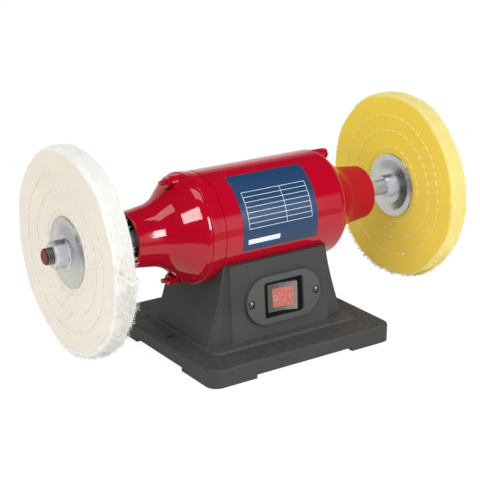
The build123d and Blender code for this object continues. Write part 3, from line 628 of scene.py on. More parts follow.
def stitch_growth(cloth, material):
    """Stitches: short lengths of thread set along sewing lines, with a knot at each marked point."""
    tree = Growth("wheel_stitches", Pitch=cloth.stitch_pitch, Stitch=cloth.stitch_length,
                  Thread=cloth.thread_radius, Knot=cloth.knot_radius)
    line = tree.add("GeometryNodeMeshToCurve", None, {"Mesh": tree.geometry})
    spaced = tree.add("GeometryNodeResampleCurve", {"mode": "LENGTH"},
                      {"Curve": line, "Length": tree["Pitch"]})
    along = tree.add("GeometryNodeInputTangent")
    facing = tree.add("FunctionNodeAlignRotationToVector", {"axis": "X"}, {"Vector": along})
    ball = tree.add("GeometryNodeMeshUVSphere", None, {"Segments": 6, "Rings": 6, "Radius": 1.0})
    size = tree.join(tree["Stitch"] / 2, tree["Thread"], tree["Thread"])
    stitches = tree.add("GeometryNodeInstanceOnPoints", None,
                        {"Points": spaced, "Instance": ball, "Rotation": facing, "Scale": size})
    tied = tree.add("GeometryNodeInputNamedAttribute", {"data_type": "FLOAT"}, {"Name": "knot"})
    bead = tree.join(tree["Knot"], tree["Knot"], tree["Knot"])
    knots = tree.add("GeometryNodeInstanceOnPoints", None, {
        "Points": tree.geometry, "Selection": tied.above(0.5), "Instance": ball, "Scale": bead})
    both = tree.add("GeometryNodeJoinGeometry", None, {0: [stitches, knots]})
    tree.finish(both, material)
    return tree


def fibre_growth(cloth, area, material, seed):
    """Loose cotton fibres on the rim: bent tapered hairs of uneven length, longest on the frayed side."""
    tree = Growth("rim_fibres", Density=cloth.fibres / area, Reach=cloth.fibre_length,
                  Thick=cloth.fibre_radius, Seed=seed)
    rim = tree.add("GeometryNodeInputNamedAttribute", {"data_type": "FLOAT"}, {"Name": "rim"})
    fray = tree.add("GeometryNodeInputNamedAttribute", {"data_type": "FLOAT"}, {"Name": "fray"})
    roots = tree.tree.nodes.new("GeometryNodeDistributePointsOnFaces")
    tree.feed(roots.inputs["Mesh"], tree.geometry)
    tree.feed(roots.inputs["Density"], tree["Density"] * rim * (0.4 + 0.6 * fray))
    tree.feed(roots.inputs["Seed"], tree["Seed"])
    hair = tree.add("GeometryNodeCurveQuadraticBezier", None, {
        "Resolution": 2, "Start": (0, 0, -0.1), "Middle": (0.02, 0.05, 0.5), "End": (0.35, 0.1, 0.95)})
    taper = 1 - 0.85 * tree.add("GeometryNodeSplineParameter", out="Factor")
    thin = tree.add("GeometryNodeSetCurveRadius", None, {"Curve": hair, "Radius": taper})
    section = tree.add("GeometryNodeCurvePrimitiveCircle", None,
                       {"Resolution": 3, "Radius": tree["Thick"] / tree["Reach"] * 2})
    strand = tree.add("GeometryNodeCurveToMesh", None,
                      {"Curve": thin, "Profile Curve": section, "Fill Caps": True})

    def random(kind, low, high, salt):
        out = {"FLOAT": 1, "FLOAT_VECTOR": 0}[kind]
        node = tree.add("FunctionNodeRandomValue", {"data_type": kind}, None, out).socket.node
        names = [socket for socket in node.inputs if socket.enabled]
        tree.feed(names[0], low)
        tree.feed(names[1], high)
        tree.feed(node.inputs["Seed"], tree["Seed"] + salt)
        return Value(tree, node.outputs[out])

    sway = random("FLOAT_VECTOR", (-0.75, -0.75, -3.14), (0.75, 0.75, 3.14), 1)
    reach = random("FLOAT", 0.0, 1.0, 2)
    size = tree["Reach"] * (0.25 + 0.75 * reach ** 2.5) * (0.3 + 0.7 * fray)
    lean = tree.add("FunctionNodeRotateRotation", {"rotation_space": "LOCAL"},
                    {"Rotation": Value(tree, roots.outputs["Rotation"]),
                     "Rotate By": tree.add("FunctionNodeEulerToRotation", None, {0: sway})})
    hairs = tree.add("GeometryNodeInstanceOnPoints", None, {
        "Points": Value(tree, roots.outputs["Points"]), "Instance": strand, "Rotation": lean,
        "Scale": tree.join(size, size, size)})
    tree.finish(hairs, material)
    return tree


class BUFFER_OT_cloth_wheels(bpy.types.Operator):
    """Make both cloth wheels with their stitches and loose fibres"""

    bl_idname = "buffer.cloth_wheels"
    bl_label = "Cloth Wheels"

    def execute(self, context):
        cloth = context.scene.buffer_cloth
        wheels = (
            ("left", "cloth_white", 11,
             cloth.white_face, cloth.white_shaded_top, cloth.white_rim, cloth.white_thread),
            ("right", "cloth_yellow", 23,
             cloth.yellow_face, cloth.yellow_shaded_top, cloth.yellow_rim, cloth.pale_thread),
        )
        for side, slot, seed, face_tone, shaded_top_tone, rim_tone, thread_tone in wheels:
            wheel = ClothWheel(side, cloth, seed)
            woven = woven_cloth(f"woven_cloth_{side}", face_tone, shaded_top_tone, rim_tone)
            body = wheel.mesh(f"cloth_wheel_{side}", woven)
            line = wheel.sewing_lines(f"sewing_line_{side}")
            thread = spun_thread(f"sewing_thread_{side}", thread_tone)
            stitches = stitch_growth(cloth, thread).grow(line, f"stitches_{side}")
            discard(line)
            area = 2 * math.pi * wheel.radius * 2 * wheel.rim_half
            fluff = spun_thread(f"loose_fibre_{side}", rim_tone)
            fibres = fibre_growth(cloth, area, fluff, seed).grow(body, f"rim_fibres_{side}")
            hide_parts(f"buffing_wheel_{side}")
            for piece in (body, stitches, fibres):
                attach(piece, "spindle")
        return {"FINISHED"}


def enamel(name, tone, bare, throat):
    """Glossy enamel with a faint orange peel, dusty on the right nose, up to the bore of the noses, which is
    painted near black as shade.
    """
    paint = Finish(name)
    bore_shade = (0.012, 0.006, 0.005)
    peel_depth = 0.000018
    # The straight noses are shaded as if hollow, by this times the squared distance from the throat
    nose_hollow = 2.0
    cloudy = paint.noise(0.09, 3.0)
    peel = paint.noise(0.0016, 1.0)
    swell = paint.noise(0.02, 1.0)
    smear = paint.noise(0.012, 5.0, 0.65)
    wear = paint.worn_edge(0.0006)
    radius, along = paint.about_spindle()
    # Painted shade: inside the bore of each nose the colour turns near black
    inside = radius.spread(bare + 0.2 * MM, bare - 0.2 * MM)
    drawn = (along.math("ABSOLUTE") - throat).math("MAXIMUM", 0.0)
    height = peel_depth * (peel + 2.0 * swell) + nose_hollow * drawn * drawn
    coat = paint.shade(tone, 0.95 + 0.1 * cloudy - 0.12 * wear)
    relief = paint.bump(height, 1.0)
    paint.surface(
        Base_Color=paint.blend(coat, bore_shade, inside),
        Roughness=0.035 + 0.05 * smear + 0.85 * inside, IOR=1.5, Normal=relief)
    dull = paint.add("ShaderNodeBsdfPrincipled", None, {
        "Base Color": coat, "Roughness": 0.6 + 0.2 * smear, "Specular IOR Level": 0.05, "Normal": relief})
    dusty = along.spread(throat - 10 * MM, throat + 4 * MM) * (1 - inside)
    glossy = Value(paint, paint.shader.outputs["BSDF"])
    both = paint.add("ShaderNodeMixShader", None, {0: 0.6 * dusty, 1: glossy, 2: dull})
    paint.tree.links.new(both.socket, paint.tree.nodes["Material Output"].inputs["Surface"])
    return paint.material


class BUFFER_OT_motor_enamel(bpy.types.Operator):
    """Paint the motor shell, its end bells and their bolts"""

    bl_idname = "buffer.motor_enamel"
    bl_label = "Motor Enamel"

    nose_bore = 26.1 * MM
    nose_length = 35.7 * MM

    def execute(self, context):
        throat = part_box("end_bell_right")[1].x - self.nose_length
        tone = context.scene.buffer_paint.motor_red
        dress("motor_paint", enamel("motor_enamel", tone, self.nose_bore, throat))
        return {"FINISHED"}


def ruled_plate(paint, width, height):
    """Printed sheet: a bare ruled table and an empty strip in white on blue, from a map in metres."""
    print_ = Finish("ruled_plate")
    u, v, _ = print_.split(print_.add("ShaderNodeUVMap", {"uv_map": "plate"}))
    line = 0.45 * MM
    rows = 7
    left, divider, right = 0.08 * width, 0.58 * width, 0.92 * width
    low, high = 0.275 * height, 0.725 * height
    pitch = (high - low) / rows

    def upright(place):
        return (u - place).math("ABSOLUTE").below(line / 2)

    inside = u.between(left, right) * v.between(low, high)
    across = ((v - low) / pitch).math("FRACT").below(line / pitch) * inside
    top = v.between(high, high + line) * u.between(left, right)
    sides = upright(left).math("MAXIMUM", upright(right)) * v.between(low, high + line)
    strip = u.between(0.065 * width, 0.485 * width) * v.between(0.085 * height, 0.147 * height)
    ink = strip
    for rule in (across, top, upright(divider) * inside, sides):
        ink = ink.math("MAXIMUM", rule)
    cloudy = print_.noise(0.03, 3.0)
    grain = print_.noise(0.0006, 2.0)
    ground = print_.shade(paint.plate_blue, 0.92 + 0.14 * cloudy + 0.05 * grain)
    return print_.surface(
        Base_Color=print_.blend(ground, paint.plate_white, ink), Roughness=0.28 + 0.1 * cloudy,
        Normal=print_.bump(grain, 0.00002, 0.4))


class BUFFER_OT_bare_plate(bpy.types.Operator):
    """Lay the bare ruled plate on the front of the motor shell"""

    bl_idname = "buffer.bare_plate"
    bl_label = "Bare Plate"

    left = -44 * MM
    right = 47.7 * MM
    top = math.radians(22.6)
    bottom = math.radians(107.5)
    thickness = 0.25 * MM
    glue = 0.02 * MM
    sharp_edge = math.radians(40)
    columns = 24
    rows = 64

    def execute(self, context):
        outer = SHELL_RADIUS + self.thickness
        width = self.right - self.left
        height = (self.bottom - self.top) * outer
        points = []
        maps = []
        for radius in (outer, SHELL_RADIUS + self.glue):
            for row in range(self.rows + 1):
                share = row / self.rows
                lean = self.top + (self.bottom - self.top) * share
                for column in range(self.columns + 1):
                    x = self.left + width * column / self.columns
                    points.append((x, -radius * math.sin(lean), SPINDLE_HEIGHT + radius * math.cos(lean)))
                    maps.append((x - self.left, (1 - share) * height))
        material = ruled_plate(context.scene.buffer_paint, width, height)
        plate = new_mesh("bare_plate", points, self.faces(), material)
        chart = plate.data.uv_layers.new(name="plate")
        for loop in plate.data.loops:
            chart.data[loop.index].uv = maps[loop.vertex_index]
        plate.data.set_sharp_from_angle(angle=self.sharp_edge)
        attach(plate, "frame")
        return {"FINISHED"}

    def faces(self):
        """Front and back of the sheet, with the strips that join their edges."""
        wide = self.columns + 1
        back = wide * (self.rows + 1)
        faces = []
        for row in range(self.rows):
            for column in range(self.columns):
                corner = row * wide + column
                cell = (corner, corner + 1, corner + wide + 1, corner + wide)
                faces.append(cell)
                faces.append(tuple(back + point for point in reversed(cell)))
        last = self.rows * wide
        rim = list(range(wide))
        rim += [row * wide + wide - 1 for row in range(1, self.rows + 1)]
        rim += [last + column for column in range(wide - 2, -1, -1)]
        rim += [row * wide for row in range(self.rows - 1, 0, -1)]
        for here, there in zip(rim, rim[1:] + rim[:1]):
            faces.append((here, there, back + there, back + here))
        return faces


def cast_paint(name, tone):
    """Matte paint over a sand casting: fine grain, pits, smudges, dust and grime, edges painted paler as
    highlights and rubbed smoother, and a band low on the pedestal painted paler as light.
    """
    paint = Finish(name)
    grain = paint.noise(0.0011, 3.0, 0.6)
    lumps = paint.noise(0.006, 2.0)
    pits = paint.cells(0.0045).spread(0.0, 0.22)
    smudge = paint.noise(0.05, 5.0, 0.6)
    # Sharp edges are painted paler as highlights, and made smoother as rubbed wear
    wear = paint.worn_edge(0.0011)
    z = paint.split(paint.place)[2]
    upward = paint.split(paint.add("ShaderNodeNewGeometry", out="Normal"))[2]
    # Dust lies on upward faces. The band between about 22 and 65 mm up, paler on every face, is painted light over
    # the shade near the foot
    dust = 0.2 * upward.spread(0.4, 0.95) + 0.35 * z.spread(0.065, 0.03) * z.spread(0.018, 0.022)
    grime = paint.noise(0.009, 5.0, 0.7).spread(0.45, 0.62) * upward.spread(0.4, 0.95) * z.below(0.04)
    shade = 0.76 + 0.3 * smudge + 0.2 * grain + 0.08 * wear - 0.08 * (1 - pits) + dust - 0.3 * grime
    height = grain + 1.5 * lumps + 0.6 * pits
    return paint.surface(
        Base_Color=paint.shade(tone, shade), Roughness=0.5 + 0.16 * grain - 0.1 * wear,
        Specular_IOR_Level=0.2, Normal=paint.bump(height, 0.00022, 0.55))


def moulded(name, tone, roughness, grain_size, sheen=0.5):
    """Moulded plastic or rubber with a fine grain and a little dust."""
    stuff = Finish(name)
    grain = stuff.noise(grain_size, 2.0)
    dust = stuff.noise(0.014, 4.0, 0.6)
    wear = stuff.worn_edge(0.0005)
    return stuff.surface(
        Base_Color=stuff.shade(tone, 0.9 + 0.16 * dust + 0.35 * wear), Roughness=roughness + 0.12 * dust,
        Specular_IOR_Level=sheen, Normal=stuff.bump(grain, 0.00006, 0.5))


class BUFFER_OT_cast_base(bpy.types.Operator):
    """Paint the cast base and finish its cable grommet"""

    bl_idname = "buffer.cast_base"
    bl_label = "Cast Base"

    rubber_tone = (0.016, 0.016, 0.016)

    def execute(self, context):
        paint = context.scene.buffer_paint
        dress("base_paint", cast_paint("cast_paint", paint.base_grey))
        dress("rubber_black", moulded("black_rubber", self.rubber_tone, 0.6, 0.0008))
        return {"FINISHED"}


def rocker_lens(paint):
    """Clear red rocker: a bright lit middle in a smoky border, both painted darker toward the left end as shade,
    with painted glints in the middle.
    """
    lens = Finish("rocker_lens")
    low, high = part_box("rocker")
    x, _, z = lens.split(lens.place)
    border = 6.2 * MM
    rib_pitch = 1.6 * MM
    edge_x = (x - (low.x + high.x) / 2).math("ABSOLUTE") - ((high.x - low.x) / 2 - border)
    edge_z = (z - (low.z + high.z) / 2).math("ABSOLUTE") - ((high.z - low.z) / 2 - border)
    rim = edge_x.math("MAXIMUM", edge_z).spread(-0.0006, 0.0004)
    ribs = (x * (2 * math.pi / rib_pitch)).math("SINE")
    cloudy = lens.noise(0.006, 3.0)
    # Painted glints: bright spots scattered over the middle of the lens
    painted_glint = lens.noise(0.0017, 3.0).spread(0.42, 0.75)
    across = (x - low.x) / (high.x - low.x)
    # Painted shade: the middle and the border are drawn darker toward the left end
    red = lens.shade(paint.lens_red, across.spread(0.1, 0.4, 0.8, 1.0))
    smoky = lens.shade(paint.lens_clear, across.spread(0.1, 1.0, 0.4, 1.45))
    tone = lens.blend(lens.blend(red, paint.lens_painted_glint, 0.5 * painted_glint), smoky, rim)
    return lens.surface(
        Base_Color=lens.shade(tone, 0.9 + 0.2 * cloudy + 0.05 * ribs), Roughness=0.16 + 0.08 * cloudy,
        IOR=1.49, Coat_Weight=0.3, Normal=lens.bump(ribs + cloudy, 0.00004, 0.5))


class BUFFER_OT_switch(bpy.types.Operator):
    """Finish the switch plate, bezel and rocker, and print the rocker's two marks"""

    bl_idname = "buffer.switch"
    bl_label = "Switch"

    mark_offset = 7.6 * MM
    mark_radius = 2.4 * MM
    mark_line = 0.65 * MM
    mark_stretch = 1.15
    mark_steps = 28
    bar_rows = 6
    lift = 0.05 * MM
    probe_height = 50 * MM

    def execute(self, context):
        paint = context.scene.buffer_paint
        dress("plate_black", moulded("switch_plate", paint.switch_grey, 0.42, 0.0009, 0.25))
        dress("switch_black", moulded("switch_bezel", paint.switch_black, 0.35, 0.0014, 0.08))
        dress("rocker_red", rocker_lens(paint))
        marks = self.marks()
        print_ = Finish("rocker_marks")
        faded = print_.noise(0.0012, 3.0)
        print_.surface(Base_Color=print_.shade(paint.mark_white, 0.8 + 0.3 * faded),
                       Roughness=0.4 + 0.2 * faded)
        marks.data.materials.append(print_.material)
        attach(marks, "rocker")
        return {"FINISHED"}

    def marks(self):
        """A ring on the left half of the rocker and a bar on the right half, laid on its faces."""
        low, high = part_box("rocker")
        centre = (low + high) / 2
        faces = []
        flat = []
        for step in range(self.mark_steps):
            turn = 2 * math.pi * step / self.mark_steps
            for radius in (self.mark_radius, self.mark_radius - self.mark_line):
                rise = radius * self.mark_stretch * math.sin(turn)
                flat.append((-self.mark_offset + radius * math.cos(turn), rise))
            beside = (step + 1) % self.mark_steps
            faces.append((2 * step, 2 * step + 1, 2 * beside + 1, 2 * beside))
        start = len(flat)
        for row in range(self.bar_rows + 1):
            rise = self.mark_radius * self.mark_stretch * (2 * row / self.bar_rows - 1)
            for side in (-0.5, 0.5):
                flat.append((self.mark_offset + side * self.mark_line, rise))
        for row in range(self.bar_rows):
            corner = start + 2 * row
            faces.append((corner, corner + 1, corner + 3, corner + 2))
        return self.lay(flat, faces, centre)

    def lay(self, flat, faces, centre):
        """Drops flat marks on the rocker along the panel's normal and gives them a thickness."""
        depsgraph = bpy.context.evaluated_depsgraph_get()
        rocker = BVHTree.FromObject(NODES["rocker"], depsgraph)
        points = []
        for across, rise in flat:
            above = centre + Vector((across, 0, 0)) + PANEL_UP * rise + PANEL_OUT * self.probe_height
            hit, normal, _, _ = rocker.ray_cast(above, -PANEL_OUT)
            if hit is None:
                raise RuntimeError("a mark misses the rocker")
            points.append(hit + normal * self.lift)
        piece = new_mesh("rocker_marks", points, faces)
        solid = piece.modifiers.new("thickness", "SOLIDIFY")
        solid.thickness = self.lift
        solid.offset = 0
        mesh = plain_mesh(piece)
        discard(piece)
        return show(mesh, "rocker_marks")


def plated(name, tone, reflection_radius, relief):
    """Zinc plate: faint rings about the spindle, cloudy patches, and a painted reflection that makes the front
    near the spindle pale and less metallic.
    """
    metal = Finish(name)
    radius, along = metal.about_spindle()
    _, y, z = metal.split(metal.place)
    rings = metal.noise(0.0007, 2.0, place=metal.join(radius + along, 0.0, 0.0))
    streaks = metal.noise(0.0018, 2.0, 0.5, place=metal.join(along, y, 0.15 * z))
    cloudy = metal.noise(0.016, 4.0, 0.6)
    speck = metal.noise(0.0013, 3.0)
    wear = metal.worn_edge(0.0004)
    tint = metal.blend(tone, (tone[0] * 0.84, tone[1] * 0.85, tone[2] * 0.86), cloudy)
    # Painted reflection: near the spindle the side facing the front is drawn paler and less metallic
    painted_front_reflection = radius.below(reflection_radius) * (-y).spread(0.002, 0.009)
    return metal.surface(
        Base_Color=metal.shade(tint, 0.8 + 0.08 * speck + 0.16 * streaks + 0.14 * wear + 0.25 * painted_front_reflection),
        Metallic=0.9 - 0.6 * painted_front_reflection,
        Roughness=0.16 + 0.14 * cloudy + 0.08 * streaks, Normal=metal.bump(rings + 0.4 * speck, relief, 0.7))


def ground_steel(name, tone, roughness):
    """Ground or turned steel, with fine marks round the spindle's axis."""
    metal = Finish(name)
    radius, along = metal.about_spindle()
    marks = metal.noise(0.0004, 2.0, place=metal.join(along, radius, 0.0))
    cloudy = metal.noise(0.02, 3.0)
    return metal.surface(
        Base_Color=metal.shade(tone, 0.85 + 0.2 * cloudy), Metallic=1.0,
        Roughness=roughness + 0.1 * marks + 0.06 * cloudy, Normal=metal.bump(marks, 0.00001, 0.6))


def spindle_steel(paint):
    """The spindle: bright ground steel, dark threaded ends and a dab of paint on the left end."""
    metal = Finish("spindle_steel")
    low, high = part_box("spindle")
    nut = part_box("spindle_nut_right")[0].x
    radius, along = metal.about_spindle()
    marks = metal.noise(0.0004, 2.0, place=metal.join(along, radius, 0.0))
    cloudy = metal.noise(0.006, 4.0)
    threaded = along.math("ABSOLUTE").above(nut)
    painted = along.below(low.x + 0.4 * MM) * (cloudy + 0.35 * radius / high.y).above(0.47)
    tone = metal.blend(paint.steel, paint.thread_steel, threaded)
    tone = metal.blend(tone, paint.end_mark, painted)
    return metal.surface(
        Base_Color=metal.shade(tone, 0.7 + 0.5 * cloudy), Metallic=0.5 + 0.4 * threaded - 0.9 * painted,
        Roughness=0.1 + 0.3 * threaded + 0.12 * marks + 0.2 * painted, Normal=metal.bump(marks, 0.00001, 0.6))


def thread_growth(name, side, start, end, radius, pitch, material):
    """One screw thread round the spindle, made as a ridge that follows a helix."""
    tree = Growth(name, Radius=radius, Pitch=pitch, Length=end - start, Ridge=pitch * 0.36, Start=start)
    turns = tree["Length"] / tree["Pitch"]
    helix = tree.add("GeometryNodeCurveSpiral", None, {
        "Resolution": 40, "Rotations": turns, "Start Radius": tree["Radius"], "End Radius": tree["Radius"],
        "Height": tree["Length"], "Reverse": side < 0})
    section = tree.add("GeometryNodeCurvePrimitiveCircle", None, {"Resolution": 6, "Radius": tree["Ridge"]})
    ridge = tree.add("GeometryNodeCurveToMesh", None,
                     {"Curve": helix, "Profile Curve": section, "Fill Caps": True})
    placed = tree.add("GeometryNodeTransform", None, {
        "Geometry": ridge, "Translation": tree.join(side * tree["Start"], 0.0, SPINDLE_HEIGHT),
        "Rotation": (0, side * math.pi / 2, 0)})
    tree.finish(placed, material)
    return tree


class BUFFER_OT_spindle_fittings(bpy.types.Operator):
    """Finish the spindle, its bearings, collars, flanges and nuts, and wind the threads of its ends"""

    bl_idname = "buffer.spindle_fittings"
    bl_label = "Spindle Fittings"

    thread_pitch = 2.0 * MM
    thread_radius = 7.75 * MM
    thread_run_out = 1.6 * MM
    # Radii within which the front of the zinc takes a painted reflection
    flange_reflection_radius = 16 * MM
    flange_relief = 0.012 * MM
    nut_reflection_radius = 30 * MM
    nut_relief = 0.004 * MM

    def execute(self, context):
        paint = context.scene.buffer_paint
        dress("zinc", plated("zinc_plate", paint.zinc, self.flange_reflection_radius, self.flange_relief))
        nut_zinc = plated("nut_plate", paint.zinc, self.nut_reflection_radius, self.nut_relief)
        for node in ("spindle_nut_left", "spindle_nut_right"):
            paint_node(node, nut_zinc)
        dress("steel", ground_steel("bright_steel", paint.steel, 0.25))
        paint_node("spindle", spindle_steel(paint))
        # Painted shade: the bearings deep inside the noses are drawn near black
        greased = ground_steel("greased_steel", paint.greased, 0.4)
        for node in NODES:
            if node.startswith("bearing_"):
                paint_node(node, greased)
        oiled = ground_steel("oiled_thread", paint.thread_crest, 0.3)
        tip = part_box("spindle")[1].x
        for side, name in ((-1, "left"), (1, "right")):
            nut_face = max(abs(corner.x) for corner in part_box(f"spindle_nut_{name}"))
            holder = new_mesh(f"thread_start_{name}", [(0, 0, 0)], [])
            tree = thread_growth(
                f"screw_thread_{name}", side, nut_face - self.thread_pitch, tip - self.thread_run_out,
                self.thread_radius, self.thread_pitch, oiled)
            thread = tree.grow(holder, f"screw_thread_{name}")
            discard(holder)
            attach(thread, "spindle")
        return {"FINISHED"}


def screw_growth(head_radius, head_height, shank_radius, shank_length, material):
    """Pan-head screws: a domed head with a cross recess on a plain shank, set at points."""
    tree = Growth("pan_head_screws", Head=head_radius, Height=head_height, Shank=shank_radius,
                  Length=shank_length, Recess=head_radius * 1.15, Slot=head_radius * 0.27)
    ball = tree.add("GeometryNodeMeshUVSphere", None, {"Segments": 32, "Rings": 16, "Radius": 1.0})
    dome = tree.add("GeometryNodeTransform", None, {
        "Geometry": ball, "Scale": tree.join(tree["Head"], tree["Head"], tree["Height"])})
    barrel = tree.add("GeometryNodeMeshCylinder", None, {
        "Vertices": 32, "Radius": tree["Head"] * 1.5, "Depth": tree["Height"] * 2})
    lower = tree.add("GeometryNodeTransform", None, {
        "Geometry": barrel, "Translation": tree.join(0.0, 0.0, -tree["Height"])})
    wide = tree.add("GeometryNodeMeshCube", None,
                    {"Size": tree.join(tree["Recess"], tree["Slot"], tree["Height"])})
    deep = tree.add("GeometryNodeMeshCube", None,
                    {"Size": tree.join(tree["Slot"], tree["Recess"], tree["Height"])})
    both = tree.add("GeometryNodeMeshBoolean", {"operation": "UNION"}, {"Mesh 2": [wide, deep]})
    cross = tree.add("GeometryNodeTransform", None, {
        "Geometry": both, "Translation": tree.join(0.0, 0.0, tree["Height"] * 0.95)})
    cutters = tree.add("GeometryNodeMeshBoolean", {"operation": "UNION"}, {"Mesh 2": [lower, cross]})
    head = tree.add("GeometryNodeMeshBoolean", {"operation": "DIFFERENCE"},
                    {"Mesh 1": dome, "Mesh 2": cutters})
    rod = tree.add("GeometryNodeMeshCylinder", None, {
        "Vertices": 20, "Radius": tree["Shank"], "Depth": tree["Length"]})
    shank = tree.add("GeometryNodeTransform", None, {
        "Geometry": rod, "Translation": tree.join(0.0, 0.0, -tree["Length"] / 2)})
    whole = tree.add("GeometryNodeJoinGeometry", None, {0: [head, shank]})
    facing = tree.add("GeometryNodeInputNamedAttribute", {"data_type": "FLOAT_VECTOR"}, {"Name": "facing"})
    upright = tree.add("FunctionNodeAlignRotationToVector", {"axis": "Z"}, {"Vector": facing})
    screws = tree.add("GeometryNodeInstanceOnPoints", None, {
        "Points": tree.geometry, "Instance": whole, "Rotation": upright})
    tree.finish(screws, material)
    return tree


def islands(node):
    """The separate solids of a CAD node, each as an array of its points."""
    solid = bmesh.new()
    solid.from_mesh(NODES[node].data)
    bmesh.ops.remove_doubles(solid, verts=solid.verts, dist=1e-6)
    left = set(solid.verts)
    found = []
    while left:
        group = set()
        edge = [min(left, key=lambda point: point.index)]
        while edge:
            point = edge.pop()
            if point in group:
                continue
            group.add(point)
            edge.extend(link.other_vert(point) for link in point.link_edges)
        left -= group
        found.append(np.array([point.co[:] for point in sorted(group, key=lambda point: point.index)]))
    solid.free()
    return found


class BUFFER_OT_screws(bpy.types.Operator):
    """Replace the plain screws of the switch plate and the bottom cover with cross-recessed ones"""

    bl_idname = "buffer.screws"
    bl_label = "Screws"

    head_height = 2.2 * MM
    touch = 0.01 * MM
    sharp_edge = math.radians(35)
    blackened = (0.16, 0.16, 0.16)

    def execute(self, context):
        black = ground_steel("blackened_screw", self.blackened, 0.25)
        bright = ground_steel("screw_steel", context.scene.buffer_paint.steel, 0.3)
        groups = (("switch_plate_screws", PANEL_OUT, black, "dark_screw"),
                  ("bottom_cover_screws", Vector((0, 0, -1)), bright, "steel"))
        for node, facing, material, slot in groups:
            self.replace(node, facing, material, slot)
        return {"FINISHED"}

    def replace(self, node, facing, material, slot):
        """One group of like screws, each set where its CAD solid is and sized by the last of them."""
        out = np.array(facing)
        seats = []
        for points in islands(node):
            along = points @ out
            top = along.max()
            axis = points[along > top - self.touch].mean(0)
            seats.append(axis + out * (top - self.head_height - axis @ out))
            reach = top - along.min()
            spread = np.linalg.norm(points - axis - np.outer((points - axis) @ out, out), axis=1)
            shank = spread[along < along.min() + self.touch].max()
        holder = new_mesh(f"{node}_seats", seats, [])
        mark = holder.data.attributes.new("facing", "FLOAT_VECTOR", "POINT")
        mark.data.foreach_set("vector", np.tile(out, len(seats)).astype(np.float32))
        tree = screw_growth(spread.max(), self.head_height, shank, reach - self.head_height, material)
        piece = tree.grow(holder, f"{node}_finished")
        discard(holder)
        piece.data.set_sharp_from_angle(angle=self.sharp_edge)
        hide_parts(node)
        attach(piece, "frame")


def stacked_sheets(name, tone, sheet):
    """Stacked core plates: a fine line between each two sheets along the spindle."""
    metal = Finish(name)
    along = metal.split(metal.place)[0]
    lines = (along * (2 * math.pi / sheet)).math("SINE")
    cloudy = metal.noise(0.012, 4.0)
    return metal.surface(
        Base_Color=metal.shade(tone, 0.85 + 0.15 * cloudy + 0.08 * lines), Metallic=0.7,
        Roughness=0.5 + 0.15 * cloudy, Normal=metal.bump(lines, 0.00008, 0.6))


def wound_wire(name, tone, wire):
    """Enamelled winding wire, laid in turns round the spindle."""
    metal = Finish(name)
    radius, along = metal.about_spindle()
    turns = ((radius + 0.6 * along) * (2 * math.pi / wire)).math("SINE")
    cloudy = metal.noise(0.01, 4.0)
    return metal.surface(
        Base_Color=metal.shade(tone, 0.8 + 0.2 * cloudy + 0.15 * turns), Metallic=0.8,
        Roughness=0.3 + 0.1 * cloudy, Normal=metal.bump(turns, 0.0002, 0.7))


def rolled_sheet(name, tone, roughness):
    """Rolled or drawn sheet metal, with streaks along it and a little tarnish."""
    metal = Finish(name)
    x, y, z = metal.split(metal.place)
    streaks = metal.noise(0.0009, 3.0, place=metal.join(x * 0.04, y, z))
    tarnish = metal.noise(0.025, 5.0, 0.6)
    wear = metal.worn_edge(0.0005)
    return metal.surface(
        Base_Color=metal.shade(tone, 0.82 + 0.2 * tarnish + 0.15 * wear), Metallic=1.0,
        Roughness=roughness + 0.12 * streaks + 0.08 * tarnish, Normal=metal.bump(streaks, 0.00002, 0.6))


class BUFFER_OT_inner_parts(bpy.types.Operator):
    """Finish the motor's inside, the bottom cover and the electrical pieces in the base"""

    bl_idname = "buffer.inner_parts"
    bl_label = "Inner Parts"

    def execute(self, context):
        dress("lamination", stacked_sheets("core_sheets", (0.22, 0.22, 0.24), 0.0012))
        dress("copper", wound_wire("winding_wire", (0.55, 0.24, 0.11), 0.0011))
        sheets = (("brass", "brass_strip", (0.68, 0.5, 0.22), 0.25),
                  ("sheet_steel", "rolled_steel", (0.42, 0.42, 0.43), 0.35),
                  ("capacitor_can", "drawn_can", (0.7, 0.7, 0.71), 0.28),
                  ("cast_aluminium", "cast_rings", (0.6, 0.6, 0.61), 0.45))
        for slot, name, tone, roughness in sheets:
            dress(slot, rolled_sheet(name, tone, roughness))
        dress("block_white", moulded("block_plastic", (0.74, 0.73, 0.68), 0.4, 0.001))
        return {"FINISHED"}


def toward(azimuth, elevation):
    """Unit vector from the object toward a bearing, in degrees, 0 being the front and 90 the right."""
    turn, rise = math.radians(azimuth), math.radians(elevation)
    return Vector((math.sin(turn) * math.cos(rise), -math.cos(turn) * math.cos(rise), math.sin(rise)))


